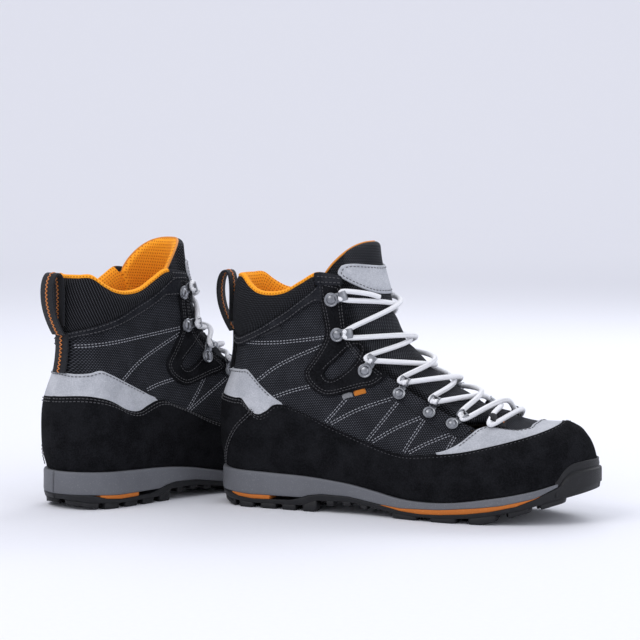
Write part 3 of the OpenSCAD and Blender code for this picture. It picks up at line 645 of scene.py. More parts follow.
def rounded_box(width, thick, radius=0.35, steps=3):
    """Section of a flat strip with round edges."""
    r = min(radius, thick / 2 - 0.01)
    points = []
    for turn, (x, y) in enumerate([(1, 1), (-1, 1), (-1, -1), (1, -1)]):
        for a in np.linspace(0, math.pi / 2, steps):
            points.append((x * (width / 2 - r) + r * math.cos(a + turn * math.pi / 2),
                y * (thick / 2 - r) + r * math.sin(a + turn * math.pi / 2)))
    return np.array(points)


def turned(profile, sides=28):
    """Points and faces of a turned form. The profile, in radius and height, starts and ends at 0."""
    turn = np.arange(sides) * 2 * math.pi / sides
    rings = [[(r * math.cos(a), r * math.sin(a), z) for a in turn] for r, z in profile[1:-1]]
    m = len(rings)
    points = np.array(rings).reshape(-1, 3)
    faces = [[i * sides + j, i * sides + (j + 1) % sides, (i + 1) * sides + (j + 1) % sides,
        (i + 1) * sides + j] for i in range(m - 1) for j in range(sides)]
    first, last = m * sides, m * sides + 1
    faces += [[first, (j + 1) % sides, j] for j in range(sides)]
    faces += [[last, (m - 1) * sides + j, (m - 1) * sides + (j + 1) % sides] for j in range(sides)]
    ends = [[0, 0, profile[0][1]], [0, 0, profile[-1][1]]]
    return np.concatenate([points, ends]), faces


# ---- materials ----


class Look:
    """A node material, built one step at a time."""

    def __init__(self, name):
        self.material = bpy.data.materials.new(name)
        self.material.use_nodes = True
        self.tree = self.material.node_tree
        self.shader = self.tree.nodes["Principled BSDF"]

    def node(self, kind, **sockets):
        made = self.tree.nodes.new(kind)
        for name, value in sockets.items():
            self.plug(made.inputs[name.replace("_", " ")], value)
        return made

    def plug(self, socket, value):
        if isinstance(value, bpy.types.NodeSocket):
            self.tree.links.new(value, socket)
        else:
            socket.default_value = value

    def math(self, operation, a, b=0.0, c=0.0):
        made = self.tree.nodes.new("ShaderNodeMath")
        made.operation = operation
        for socket, value in zip(made.inputs, (a, b, c)):
            self.plug(socket, value)
        return made.outputs[0]

    def wave(self, along, pitch, shift=0.0):
        """From -1 to 1 and back, once each pitch."""
        turns = self.math("MULTIPLY_ADD", along, 2 * math.pi / pitch, shift)
        return self.math("SINE", turns)

    def step(self, value, low, high):
        made = self.node("ShaderNodeMapRange", Value=value, From_Min=low, From_Max=high)
        made.interpolation_type = "SMOOTHSTEP"
        return made.outputs[0]

    def noise(self, scale, detail=3.0, rough=0.55, of=None):
        made = self.node("ShaderNodeTexNoise", Scale=scale, Detail=detail, Roughness=rough)
        self.plug(made.inputs["Vector"], self.place() if of is None else of)
        return made.outputs[0]

    def place(self):
        """Position on the object in metres."""
        return self.node("ShaderNodeTexCoord").outputs["Object"]

    def sewn(self):
        """Position on the piece in millimetres, along it and up it."""
        uv = self.tree.nodes.new("ShaderNodeUVMap")
        uv.uv_map = "mm"
        split = self.node("ShaderNodeSeparateXYZ", Vector=uv.outputs[0])
        return split.outputs[0], split.outputs[1]

    def dots(self, pitch_u, pitch_v, core, rim):
        """Staggered rows of dots, 1 at a dot's core and 0 past its rim."""
        u, v = self.sewn()
        row = self.math("DIVIDE", v, pitch_v)
        shift = self.math("MULTIPLY", self.math("MODULO", self.math("FLOOR", row), 2.0), 0.5)
        column = self.math("ADD", self.math("DIVIDE", u, pitch_u), shift)
        across, upward = (self.math("SUBTRACT", self.math("FRACT", way), 0.5) for way in (column, row))
        square = self.math("MULTIPLY_ADD", across, across, self.math("MULTIPLY", upward, upward))
        return self.step(self.math("MULTIPLY", self.math("SQRT", square), -1), -rim, -core)

    def mix(self, share, first, second):
        made = self.tree.nodes.new("ShaderNodeMix")
        made.data_type = "RGBA"
        for name, value in (("Factor", share), ("A", first), ("B", second)):
            socket = [s for s in made.inputs if s.name == name and s.enabled][-1]
            self.plug(socket, value if not isinstance(value, tuple) else (*value, 1))
        return [s for s in made.outputs if s.enabled][0]

    def finish(self, colour, rough, bump=None, deep=0.0003, sheen=0.0, metal=0.0, tint=(1, 1, 1), shine=0.5):
        """Sets the shader. bump is a height from 0 to 1, and deep is what 1 stands for in metres."""
        values = {"Base Color": colour, "Roughness": rough, "Metallic": metal, "Specular IOR Level": shine,
            "Sheen Weight": sheen, "Sheen Roughness": 0.5, "Sheen Tint": (*tint, 1)}
        for name, value in values.items():
            self.plug(self.shader.inputs[name], value)
        if bump is not None:
            raised = self.node("ShaderNodeBump", Height=bump, Distance=deep, Strength=1.0)
            self.plug(self.shader.inputs["Normal"], raised.outputs[0])
        return self.material


def suede(name, dark, light, sheen):
    """Brushed nap: fine fibres, soft cloudy shading, and a lighter bloom at grazing angles."""
    look = Look(name)
    fibre = look.noise(2600, 4, 0.7)
    cloud = look.step(look.noise(70, 3), 0.35, 0.65)
    grain = look.step(look.noise(900, 3, 0.65), 0.35, 0.68)
    shade = look.math("ADD", look.math("MULTIPLY", cloud, 0.45), look.math("MULTIPLY", grain, 0.55))
    height = look.math("ADD", look.math("MULTIPLY", fibre, 0.5), look.math("MULTIPLY", grain, 0.5))
    return look.finish(look.mix(shade, dark, light), 0.95, height, 0.00035, sheen, tint=light, shine=0.06)


def woven_mesh(name, dark, light, pitch_u, pitch_v, sheen=0.1):
    """Coarse cloth of staggered raised knots over a darker ground."""
    look = Look(name)
    knot = look.dots(pitch_u, pitch_v, 0.12, 0.48)
    yarn = look.noise(1500, 2)
    cloud = look.step(look.noise(60, 2), 0.3, 0.7)
    tone = look.math("MULTIPLY", knot, look.math("MULTIPLY_ADD", cloud, 0.35,
        look.math("MULTIPLY_ADD", yarn, 0.5, 0.35)))
    return look.finish(look.mix(tone, dark, light), 0.8,
        look.math("MULTIPLY_ADD", yarn, 0.15, knot), 0.0004, sheen, tint=light, shine=0.12)


def ribbed_knit(name, dark, light):
    """Fine ribs that lean along the collar, with a faint crossing row, and a painted highlight on the raised
    ribs.
    """
    look = Look(name)
    u, v = look.sewn()
    rib = look.wave(look.math("MULTIPLY_ADD", v, 0.42, u), 1.9)
    cross = look.wave(look.math("MULTIPLY_ADD", u, -0.55, v), 1.7)
    height = look.math("MULTIPLY_ADD", cross, 0.22, look.math("MULTIPLY_ADD", rib, 0.5, 0.5))
    tuft = look.math("MULTIPLY_ADD", look.noise(900, 2), 0.8, 0.4)
    # Partly random yarn tone from the tufts, partly a painted highlight that makes the raised ribs lighter
    rib_painted_highlight = look.math("MULTIPLY", look.step(height, 0.45, 1.1), tuft)
    return look.finish(look.mix(rib_painted_highlight, dark, light), 0.85, height, 0.0007, 0.1, tint=light, shine=0.12)


# Heights in metres between which the lining turns from painted shade, near black low in the boot, to its own
# colour
LINING_PAINTED_SHADE_FADE = (0.088, 0.095)


def perforated_lining(name, ground, hole):
    """Spacer cloth with rows of small dimples, with painted shade that turns it near black low in the boot.
    """
    look = Look(name)
    pitch = 2.7
    dimple = look.dots(pitch, pitch * 0.86, 0.12, 0.3)
    fuzz = look.noise(1300, 3)
    cloth = look.mix(look.step(fuzz, 0.3, 0.7), ground, tuple(min(1, c * 1.25) for c in ground))
    split = look.node("ShaderNodeSeparateXYZ", Vector=look.place())
    # Painted shade: near black low in the boot, turning to the lining's own colour above the fade heights
    high = look.step(split.outputs[2], *LINING_PAINTED_SHADE_FADE)
    colour = look.mix(high, (0.012, 0.0125, 0.014), look.mix(dimple, cloth, hole))
    height = look.math("SUBTRACT", look.math("MULTIPLY", fuzz, 0.3), dimple)
    return look.finish(colour, 0.9, height, 0.0005, 0.2, tint=(1, 0.6, 0.25), shine=0.1)


def speckled_foam(name, ground, fleck):
    """Moulded foam: a fine skin, with small flecks in it."""
    look = Look(name)
    fine = look.noise(1800, 2)
    dots = look.step(look.noise(1150, 1), 0.62, 0.7)
    cloud = look.step(look.noise(45, 2), 0.3, 0.7)
    base = look.mix(look.math("MULTIPLY", cloud, 0.4), ground, tuple(c * 0.78 for c in ground))
    colour = look.mix(look.math("MULTIPLY", dots, 0.5), base, fleck)
    return look.finish(colour, 0.62, fine, 0.00012, shine=0.25)


def rubber(name, ground, dust):
    """Outsole rubber, matt, with paler dust where it scuffs."""
    look = Look(name)
    scuff = look.step(look.noise(160, 5, 0.7), 0.5, 0.8)
    fine = look.noise(1400, 3)
    return look.finish(look.mix(look.math("MULTIPLY", scuff, 0.5), ground, dust),
        look.math("MULTIPLY_ADD", scuff, 0.2, 0.5), fine, 0.0002, shine=0.3)


def worn_metal(name, colour, dark):
    """Satin nickel, with fine tumbling marks and darker hollows."""
    look = Look(name)
    marks = look.noise(1700, 4, 0.7)
    cloud = look.step(look.noise(330, 3), 0.35, 0.7)
    return look.finish(look.mix(look.math("MULTIPLY", cloud, 0.55), colour, dark),
        look.math("MULTIPLY_ADD", marks, 0.25, 0.22), marks, 0.00005, metal=1.0)


def yarn(name, colour, shade, pitch=0.9, gloss=0.6):
    """Twisted thread or braid, with diagonal strands, and painted shade in the grooves between them."""
    look = Look(name)
    u, v = look.sewn()
    strand = look.wave(look.math("ADD", u, v), pitch)
    height = look.math("MULTIPLY_ADD", strand, 0.35, look.noise(1500, 2))
    # Painted shade: the low parts between strands take the darker shade colour
    return look.finish(look.mix(look.step(height, 0.1, 0.8), shade, colour), gloss, height, 0.00012, 0.2)


def braid(name, colour, shade):
    """Round braided cord: two sets of strands that cross, with painted shade in the grooves between them."""
    look = Look(name)
    u, v = look.sewn()
    one = look.wave(look.math("ADD", u, v), 1.5)
    two = look.wave(look.math("SUBTRACT", u, v), 1.5)
    weave = look.math("MULTIPLY_ADD", look.math("MULTIPLY", one, two), 0.5, 0.5)
    height = look.math("MULTIPLY_ADD", look.noise(2400, 2), 0.25, weave)
    # Painted shade: the low parts between strands take the darker shade colour
    return look.finish(look.mix(look.step(height, 0.15, 0.75), shade, colour), 0.75, height, 0.00022, 0.3)


def webbing(name, dark, light):
    """Narrow woven tape, with cross ribs and a selvedge on each side."""
    look = Look(name)
    u, v = look.sewn()
    ribs = look.wave(v, 0.9)
    twill = look.wave(look.math("ADD", u, v), 1.3)
    height = look.math("MULTIPLY_ADD", twill, 0.25, look.math("MULTIPLY_ADD", ribs, 0.35, 0.5))
    colour = look.mix(look.step(height, 0.2, 1.0), dark, light)
    return look.finish(colour, 0.75, height, 0.0003, 0.1, shine=0.12)


def fibre_board(name, ground, dark):
    look = Look(name)
    flecks = look.step(look.noise(700, 4, 0.7), 0.45, 0.7)
    return look.finish(look.mix(flecks, ground, dark), 0.85, flecks, 0.0001)


DARK_SUEDE = suede("dark_suede", (0.0035, 0.0037, 0.0045), (0.014, 0.0145, 0.017), 0.05)
GREY_SUEDE = suede("grey_suede", (0.38, 0.395, 0.43), (0.56, 0.575, 0.61), 0.1)
TAPE_SUEDE = suede("band_suede", (0.010, 0.011, 0.014), (0.030, 0.031, 0.036), 0.08)
MESH_CLOTH = woven_mesh("mesh_cloth", (0.004, 0.0045, 0.006), (0.085, 0.09, 0.105), 1.9, 1.25)
TONGUE_CLOTH = woven_mesh("tongue_cloth", (0.0045, 0.005, 0.006), (0.10, 0.105, 0.12), 1.7, 1.2)
KNIT = ribbed_knit("knit", (0.003, 0.0033, 0.004), (0.065, 0.068, 0.078))
ORANGE_LINING = perforated_lining("orange_lining", (0.92, 0.33, 0.022), (0.60, 0.16, 0.006))
PIPING = yarn("orange_piping", (0.80, 0.30, 0.02), (0.55, 0.17, 0.01))
FOAM = speckled_foam("midsole_foam", (0.135, 0.14, 0.155), (0.22, 0.225, 0.24))
ORANGE_FOAM = speckled_foam("accent_foam", (0.50, 0.145, 0.022), (0.62, 0.24, 0.07))
INSOLE_CLOTH = woven_mesh("insole_cloth", (0.02, 0.021, 0.024), (0.07, 0.072, 0.08), 1.2, 1.0)
RUBBER = rubber("outsole_rubber", (0.0085, 0.0088, 0.0105), (0.033, 0.034, 0.038))
METAL = worn_metal("satin_metal", (0.30, 0.31, 0.33), (0.12, 0.125, 0.14))
LACE = braid("lace_braid", (0.93, 0.935, 0.95), (0.70, 0.71, 0.75))
WEBBING = webbing("webbing", (0.0055, 0.006, 0.0075), (0.032, 0.034, 0.04))
PALE_THREAD = yarn("pale_thread", (0.42, 0.43, 0.47), (0.2, 0.205, 0.225))
ORANGE_THREAD = yarn("orange_thread", (0.72, 0.24, 0.03), (0.45, 0.12, 0.012))
BLACK_THREAD = yarn("black_thread", (0.05, 0.05, 0.056), (0.016, 0.0165, 0.02))
GREY_THREAD = yarn("grey_thread", (0.15, 0.155, 0.165), (0.07, 0.072, 0.078))
TAG = webbing("tag_tape", (0.012, 0.0125, 0.015), (0.05, 0.052, 0.058))
PALE_TAG = webbing("pale_tag_tape", (0.16, 0.165, 0.175), (0.30, 0.305, 0.32))
ORANGE_TAG = webbing("orange_tag_tape", (0.42, 0.12, 0.015), (0.75, 0.28, 0.04))
BOARD = fibre_board("fibre_board", (0.55, 0.50, 0.40), (0.40, 0.35, 0.27))
STEEL = worn_metal("shank_steel", (0.5, 0.5, 0.52), (0.35, 0.35, 0.37))


# ---- upper ----


def hard_seam():
    """Where the rand's side panel laps over its heel piece on the outer side, as X and Z."""
    return smooth_line([[37, 74], [30, 67], [23, 61], [17, 52], [12, 42], [9, 30]])


def rand_lap(t, h, away, long):
    """The rand's side panel lies a little proud of the heel piece behind it."""
    p = last_point(t, h)
    seam = hard_seam()
    edge = np.interp(p[..., 2], seam[::-1, 1], seam[::-1, 0])
    proud = 0.7 * smooth((p[..., 0] - edge) / 1.2) - 0.35 * smooth((60 - p[..., 0]) / 30)
    return np.where(t > 1, proud, 0)


STAY_K = 16.1


def stay_slope(t, h, away, long):
    """The stay rises out of the quarter under the rivets, and a seam runs along it above them."""
    edge = curve(THROAT, h) + np.where(t < 1, THROAT_SHIFT, 0)
    near = 1 - np.abs(t - 1)
    share = (near / edge - STAY_K / EDGE) / (1 - STAY_K / EDGE)
    rise = smooth(share / 0.4) * smooth(away / 5) * smooth((long - away) / 5)
    return 1.85 * (rise - 1) - 0.45 * np.exp(-(((share - 0.8) / 0.035) ** 2))


# Which of a panel's lower, upper, first and last edges show as cut and sewn
TOP_SEWN = (False, True, False, False)
THROAT_SEWN = {"lateral": (False, False, True, False), "medial": (False, False, False, True)}
FOOT = 0.6
OVERLAY = (-1.5, -0.5)
BAND = (-1.2, 0.5)
BAND_TOP = lowered(KNIT_LINE, -0.6)
UNDER_RAND = lowered(RAND_TOP, 1.6)


def make_shell_of_upper(side, black, grey):
    for name, start, end in (("lateral", RING - EDGE, RING - 0.05), ("medial", 0.05, EDGE)):
        panel(f"mesh_quarter_{name}", FOOT, lowered(KNIT_LINE, 0.7), start, end, MESH, side, MESH_CLOTH,
            step=2.6, level=True, sewn=THROAT_SEWN[name], replaced=[f"quarter_{name}"], slot="mesh")
    panel("mesh_vamp", FOOT, VAMP_TOP, EDGE + 0.1, RING - EDGE - 0.1, MESH, side, MESH_CLOTH,
        step=2.4, sewn=TOP_SEWN, replaced=["vamp"], slot="mesh")
    panel("suede_rand", FOOT, RAND_TOP, 0, RING, SUEDE, side, DARK_SUEDE,
        step=1.8, shape=rand_lap, sewn=TOP_SEWN, ring=True, replaced=["rand"], slot="dark_suede")
    for name, top, start, end in (("heel", HEEL_TOP, -7.9, 8.6), ("toe", TOE_TOP, 14, 34)):
        panel(f"{name}_suede", UNDER_RAND, top, start, end, OVERLAY, side, GREY_SUEDE,
            step=1.8, sewn=TOP_SEWN, replaced=[f"{name}_overlay"], slot="grey_suede")
    for name, start, end in (("lateral", RING - EDGE, RING - STAY_K), ("medial", STAY_K, EDGE)):
        panel(f"eyestay_{name}", STAY_LOW, STAY_TOP, start, end, SUEDE, side, MESH_CLOTH, step=1.5,
            shape=stay_slope, level=True, sewn=THROAT_SEWN[name], replaced=[f"eyestay_{name}"], slot="mesh")
    panel("collar_band", BAND_LOW, BAND_TOP, -15.6, 16.4, BAND, side, TAPE_SUEDE,
        step=1.5, replaced=["collar_binding"], slot="dark_suede")

    for offset in (STITCH_IN, STITCH_IN + 2.2):
        black.seam(RAND_TOP, 0.01, RING - 0.01, -offset, 0.05)
    line = hard_seam()
    for by in (-1.9, -3.9):
        black.line(shifted(line, by), False, 0.62)
    grey.seam(HEEL_TOP, -7.3, 8.1, -STITCH_IN, OVERLAY[1])
    grey.seam(TOE_TOP, 15.2, 32.8, -STITCH_IN, OVERLAY[1])
    black.seam(BAND_TOP, -15, 16, -1.5, BAND[1] + 0.05)
    black.seam(BAND_LOW, -15, 16, 1.5, BAND[1] + 0.05)


# Double rows of stitching on the quarters, as X and Z, on the outer and the inner side
QUARTER_ROWS = {
    False: [[[13, 127], [48, 127], [72, 130], [92, 133]], [[36, 98], [49, 108], [64, 116], [91, 127]],
        [[50, 86], [66, 92], [82, 96]], [[95, 69], [112, 89]],
        [[99, 68], [111, 75], [123, 81], [148, 89.5]],
        [[129, 57], [141, 72], [152, 87]], [[133, 56], [152, 68], [170, 76], [177, 79.5]],
        [[160, 50], [167, 63], [174, 76]], [[164, 50], [181, 60], [199, 67.5]],
        [[195, 54], [199, 66]]],
    True: [[[9, 125], [24, 126], [60, 130], [103, 135]], [[42, 98], [59, 111], [80, 121], [103, 131]],
        [[65, 89], [78, 93], [98, 96]], [[106, 70], [116, 81], [126, 95]],
        [[109, 70], [129, 82], [150, 94]],
        [[140, 57], [152, 72], [163, 89]], [[144, 56], [163, 69], [184, 80]],
        [[171, 51], [178, 63], [185, 77]],
        [[175, 51], [192, 61], [208, 69]]]}
ROW_APART = 0.95


def sew_quarters(pale):
    for inner, rows in QUARTER_ROWS.items():
        for row in rows:
            line = resample(smooth_line(row), 2)
            for by in (-ROW_APART, ROW_APART):
                pale.line(shifted(line, by), inner, MESH[1], pitch=2.7, dash=1.95, radius=0.3)


def on_side(inner):
    """Puts flat points, X and Z, on one side of the boot at a depth."""
    def raise_to(flat, depth):
        t, h = locate(flat[:, 0], flat[:, 1], inner)
        return skin(t, h, depth)
    return raise_to


def make_ankle_patch(side, inner, black):
    name = "medial" if inner else "lateral"
    shift = np.array(ANKLE_SHIFT) * inner
    edge_k = EDGE if inner else RING - EDGE
    h = np.linspace(174.5, 96, 24)
    throat = skin(place(edge_k, h), h)[:, [0, 2]]
    low = smooth_line(np.array(ANKLE, float) + shift)
    corner = [low[-1] + (throat[-1] - low[-1]) * s for s in (0.35, 0.7)]
    top = [throat[0] + (low[0] - throat[0]) * s for s in (0.33, 0.66)]
    outline = np.concatenate([low, corner, throat[::-1], top])
    window = smooth_line(np.array(WINDOW, float) + shift, closed=True, rounds=2)
    cut_piece(f"ankle_patch_{name}", outline, [window], on_side(inner), SUEDE, side, DARK_SUEDE,
        replaced=[f"ankle_patch_{name}"], slot="dark_suede")
    for loop, by in ((outline, STITCH_IN), (outline, STITCH_IN + 2), (window, -STITCH_IN)):
        row = inset(closed_line(loop, 1.5), by)
        jumps = np.where(np.linalg.norm(np.diff(row, axis=0), axis=1) > 6)[0] + 1
        for part in np.split(row, jumps):
            if len(part) > 4:
                black.line(part, inner, 0.0, pitch=2.6, dash=1.8, radius=0.3)


COLLAR_TAG = (MESH[1] + 0.1, MESH[1] + 0.9)
PATCH_TAG = (MESH[1] + 0.1, MESH[1] + 1.0)


def make_tags(side, inner=False):
    """Two small blank woven tags on the outer side: one under the collar, one under the patch."""
    collar = np.array([[37.5, 131.5], [55.5, 137.8], [53.6, 143.2], [35.6, 136.9]])
    cut_piece("collar_tag", collar, [], on_side(inner), COLLAR_TAG, side, TAG, step=2, slot="webbing")
    low, high = np.array([[108.2, 86.8], [126.6, 92.4]]), np.array([[106.6, 90.6], [125.0, 96.2]])
    for name, share, material in (("pale", (0, 0.44), PALE_TAG), ("orange", (0.5, 1), ORANGE_TAG)):
        ends = [low[0] + (low[1] - low[0]) * s for s in share]
        ends += [high[0] + (high[1] - high[0]) * s for s in share[::-1]]
        cut_piece(f"patch_tag_{name}", np.array(ends), [], on_side(inner), PATCH_TAG, side, material, step=2,
            slot="webbing")


# ---- collar and lining ----

# Section of the padded collar's outside, as [share of its height, depth], and its round top
COLLAR_FACE = [[0, -0.9], [0.06, 0.0], [0.2, 1.1], [0.42, 2.0], [0.62, 2.2], [0.8, 1.7], [0.92, 0.7],
    [1, -0.7]]
COLLAR_TIP = [[-1.5, -2.3], [-2.6, -2.2]]
COLLAR_SHORT = 2.9
COLLAR_BACK = -4.6
LINING_TIP = [[-1.2, -2.5], [-0.9, -1.7], [-1.3, -0.7], [-2.4, 0.1], [-3.8, 0.3], [-5.4, -0.6],
    [-6.7, -2.2], [-7.6, -5]]
FRONT_K = 15.3
FRONT_FACE = [[0, -0.2], [0.04, 0.4], [0.3, 0.7], [0.6, 0.8], [0.82, 0.5], [0.95, -0.6], [1, -2.2],
    [1, -4.4], [0.94, -6.2], [0.8, -7.2], [0.5, -7.4], [0.3, -7.2], [0.3, -5.0], [0, -1.0]]
LINING_FACE = [[9, -8.4], [14, -8.8], [21, -8.4], [30, -7.4], [44, -6.8]]


def make_collar(side):
    k = np.linspace(-14.8, 15.6, 220)
    low, top = seam_h(KNIT_LINE, k), seam_h(COLLAR_TOP, k)
    tall = top - low - COLLAR_SHORT
    fade = smooth((k + 14.8) / 2.2) * smooth((15.6 - k) / 2.2)
    heights, depths = [], []
    for s in np.linspace(0, 1, 16):
        heights.append(low + s * tall)
        depths.append(curve(COLLAR_FACE, s) * (0.35 + 0.65 * fade))
    for depth, under in COLLAR_TIP:
        heights.append(top + under)
        depths.append(depth + 0 * k)
    heights += [top - 3.4, low + 0.5 * tall, low]
    depths += [COLLAR_BACK + 0 * k] * 3
    h, d = np.stack(heights, -1), np.stack(depths, -1)
    t = place(k[:, None], h)
    points = skin(t, h, d)
    run = run_of(last_point(place(k, low + 20), low + 20))
    uv = pairs(run[:, None], h - low[:, None])
    made = piece("collar_knit", points, loft_faces(*h.shape), side, KNIT, replaced=["collar"], slot="knit",
        uv=uv)


def make_collar_front(side, black):
    """The suede that wraps over the top of the shaft beside the throat."""
    bundle = Bundle()
    for start, end in ((FRONT_K - 0.6, EDGE - 0.05), (RING - EDGE + 0.05, RING - FRONT_K + 0.6)):
        k = np.linspace(start, end, 44)
        top, low = seam_h(COLLAR_TOP, k) + 0.2, 172.5 + 0 * k
        close = np.minimum(k - start, end - k) if start < TOE else np.minimum(end - k, k - start)
        full = 0.4 + 0.6 * round_end(close / 0.35)
        heights, depths = [], []
        for share, depth in FRONT_FACE:
            heights.append(low + (top - low) * share)
            depths.append(-3.2 + (depth + 3.2) * full)
        h, d = np.stack(heights, -1), np.stack(depths, -1)
        uv = pairs(run_of(last_point(place(k, top), top))[:, None], h)
        bundle.add(skin(place(k[:, None], h), h, d), loft_faces(*h.shape), uv)
        for at in (0.28, 0.7):
            line = low + (top - low) * at
            t = place(k[3:-3], line[3:-3])
            black.sew(skin(t, line[3:-3], 0.65 + 0 * t), normal_at(t, line[3:-3]))
    bundle.make("collar_front", side, TAPE_SUEDE, slot="dark_suede")


def make_lining(side):
    """The shaft's and the toe's lining. It rolls over the collar's top edge and is padded below it."""
    k = np.linspace(-17.1, 17.1, 240)
    top = seam_h(COLLAR_TOP, k) - 3.2 * smooth((np.abs(k) - FRONT_K) / 0.7)
    heights = [top + under for _, under in LINING_TIP]
    depths = [depth + 0 * k for depth, _ in LINING_TIP]
    for down, depth in LINING_FACE:
        heights.append(top - down)
        depths.append(depth + 0 * k)
    last = heights[-1]
    for s in np.linspace(0.1, 1, 14):
        heights.append(last + (3 - last) * s)
        depths.append(LINING[0] + 0 * k)
    for s in (1, 0.75, 0.5, 0.25):
        heights.append(3 + (top - 6 - 3) * (1 - s))
        depths.append(LINING[1] + 0 * k)
    heights += [top - 3.6, top - 3.2]
    depths += [-4.75 + 0 * k, -2.4 + 0 * k]
    h, d = np.stack(heights, -1), np.stack(depths, -1)
    points = skin(place(k[:, None], h), h, d)
    run = run_of(last_point(place(k, 120 + 0 * k), 120 + 0 * k))
    down = np.cumsum(np.abs(np.diff(h, axis=1, prepend=h[:, :1])), axis=1)
    uv = pairs(run[:, None], down)
    bundle = Bundle()
    bundle.add(points, loft_faces(*h.shape), uv)
    k = np.linspace(EDGE + 0.2, RING - EDGE - 0.2, 40)
    top = seam_h(VAMP_TOP, k) - 8
    h = 3 + (top - 3)[:, None] * np.linspace(0, 1, 24)
    t = place(k[:, None], h)
    both = np.concatenate([skin(t, h, depth + 0 * h).reshape(-1, 3) for depth in LINING[::-1]])
    flat = pairs(k[:, None] * 9, h).reshape(-1, 2)
    bundle.add(both, shell_faces(*h.shape), np.concatenate([flat, flat]))
    bundle.make("orange_lining", side, ORANGE_LINING, replaced=["lining"], slot="lining")


# ---- tongue ----

TONGUE_REACH = [[60, 0.27], [100, 0.35], [140, 0.37], [165, 0.4], [210, 0.4]]
TONGUE_LOW = 62
TONGUE_HIGH = 206
TONGUE_SHOULDER = 28
TONGUE_BACK = -10.3
TONGUE_ROLL = 4.5
PIPING_R = 0.85
# Heights at which the lace presses the tongue down, and how far the padding rises between them
PRESSED = [72, 90, 105, 128, 153]
PLEAT = 1.5


def tongue_top(t, h):
    """Depth of the tongue's face: full in the throat, and tucked under the throat's edges."""
    inner = t < 1
    opening = 1 - (curve(THROAT, h) + np.where(inner, THROAT_SHIFT, 0)) - np.abs(t - 1)
    face = TONGUE_DEEP + (TONGUE_FACE - TONGUE_DEEP) * smooth((opening - 0.012) / 0.05)
    press = sum(np.exp(-(((h - at) / 4.5) ** 2)) for at in PRESSED)
    return face - PLEAT * press * smooth((opening - 0.03) / 0.06)


def tongue_place(u, v):
    centre = TONGUE_LOW + (TONGUE_HIGH - TONGUE_LOW) * v
    h = centre - TONGUE_SHOULDER * v**6 * np.abs(u) ** 3
    return 1 + u * curve(TONGUE_REACH, centre), h


def make_tongue(side):
    """The tongue's padded face and its orange back, each a pillow with a round rim, and piping."""
    u = np.linspace(-1, 1, 61)[:, None]
    v = np.concatenate([np.linspace(0, 0.93, 84), 1 - 0.07 * (1 - np.linspace(0.08, 1, 12)) ** 1.6])
    u, v = np.broadcast_arrays(u, v)
    t, h = tongue_place(u, v)
    p = last_point(t, h)
    top_gap = np.linalg.norm(p - p[:, -1:], axis=-1)
    from_first = run_of(p.transpose(1, 0, 2)).T
    from_last = run_of(p[::-1].transpose(1, 0, 2)).T[::-1]
    side_gap = np.minimum(from_first, from_last)
    nearest = np.minimum(top_gap, side_gap)
    full = round_end(nearest / TONGUE_ROLL)
    face = tongue_top(t, h)
    middle = LINING[0]
    outer = skin(t, h, middle + (face - middle) * full)
    back = skin(t, h, middle - 0.2 + (TONGUE_BACK + 1 - middle) * full)
    run = run_of(p[:, 40][None])[0]
    uv = pairs(run[:, None], h)
    made = make_shell("tongue_pad", outer, back, uv, side, TONGUE_CLOTH, replaced=["tongue"],
        slot="tongue_mesh")
    inside = skin(t, h, middle - 0.7 + (TONGUE_BACK - 1 - middle) * full)
    front = skin(t, h, middle - 0.45 + (TONGUE_BACK + 0.4 - middle) * full)
    make_shell("tongue_back", front, inside, uv, side, ORANGE_LINING, replaced=["tongue_lining"],
        slot="lining")
    first = 58
    rim_t = np.concatenate([t[0, first:], t[:, -1], t[-1, first:][::-1]])
    rim_h = np.concatenate([h[0, first:], h[:, -1], h[-1, first:][::-1]])
    path = resample(skin(rim_t, rim_h, middle - 0.3 + 0 * rim_h), 1.5)
    sides, ups = carried_frames(path)
    turn = np.arange(8) * math.pi / 4
    section = PIPING_R * np.stack([np.cos(turn), np.sin(turn)], -1)
    uv = pairs(run_of(path)[:, None], PIPING_R * turn)
    piece("tongue_piping", sweep(path, sides, ups, section), loft_faces(len(path), 8), side, PIPING,
        slot="lining", uv=uv)


# Outline of the tongue's suede patch, as millimetres round the boot from its centre, and height.
# Its outer side reaches further round than its inner side.
PATCH = [[-36, 190], [-41, 183.5], [-40.5, 179], [-31, 172.5], [-21, 167.5], [-12, 166.2], [0, 166],
    [12, 166.4], [21, 168], [26, 172.5], [28, 177], [28.5, 183], [27, 189], [14, 188], [0, 187.4],
    [-14, 188]]
PATCH_T = 0.0078
PATCH_FLOOR = -2.6


def make_tongue_patch(side, grey):
    def under(t, h):
        return np.maximum(tongue_top(t, h), PATCH_FLOOR)

    def raise_to(flat, depth):
        t = 1 - flat[:, 0] * PATCH_T
        return skin(t, flat[:, 1], under(t, flat[:, 1]) + depth)

    outline = smooth_line(PATCH, closed=True, rounds=2)
    cut_piece("tongue_patch", outline, [], raise_to, (0.3, 1.6), side, GREY_SUEDE, step=2.2,
        replaced=["tongue_patch"], slot="grey_suede")
    row = inset(closed_line(outline, 1.2), STITCH_IN)
    t = 1 - row[:, 0] * PATCH_T
    grey.sew(skin(t, row[:, 1], under(t, row[:, 1]) + 1.45), normal_at(t, row[:, 1]), pitch=2.9, dash=2)


# ---- pull loop and backstay ----

LOOP = [[3.2, 134], [0, 139], [-4, 147], [-7.2, 157], [-8, 167], [-6.8, 175], [-3.6, 180.6],
    [0.2, 181], [2.4, 177], [3.2, 169], [3.3, 160], [3, 150], [2.8, 141]]
LOOP_W = 15
LOOP_T = 1.4
ZIGZAG = 1.5


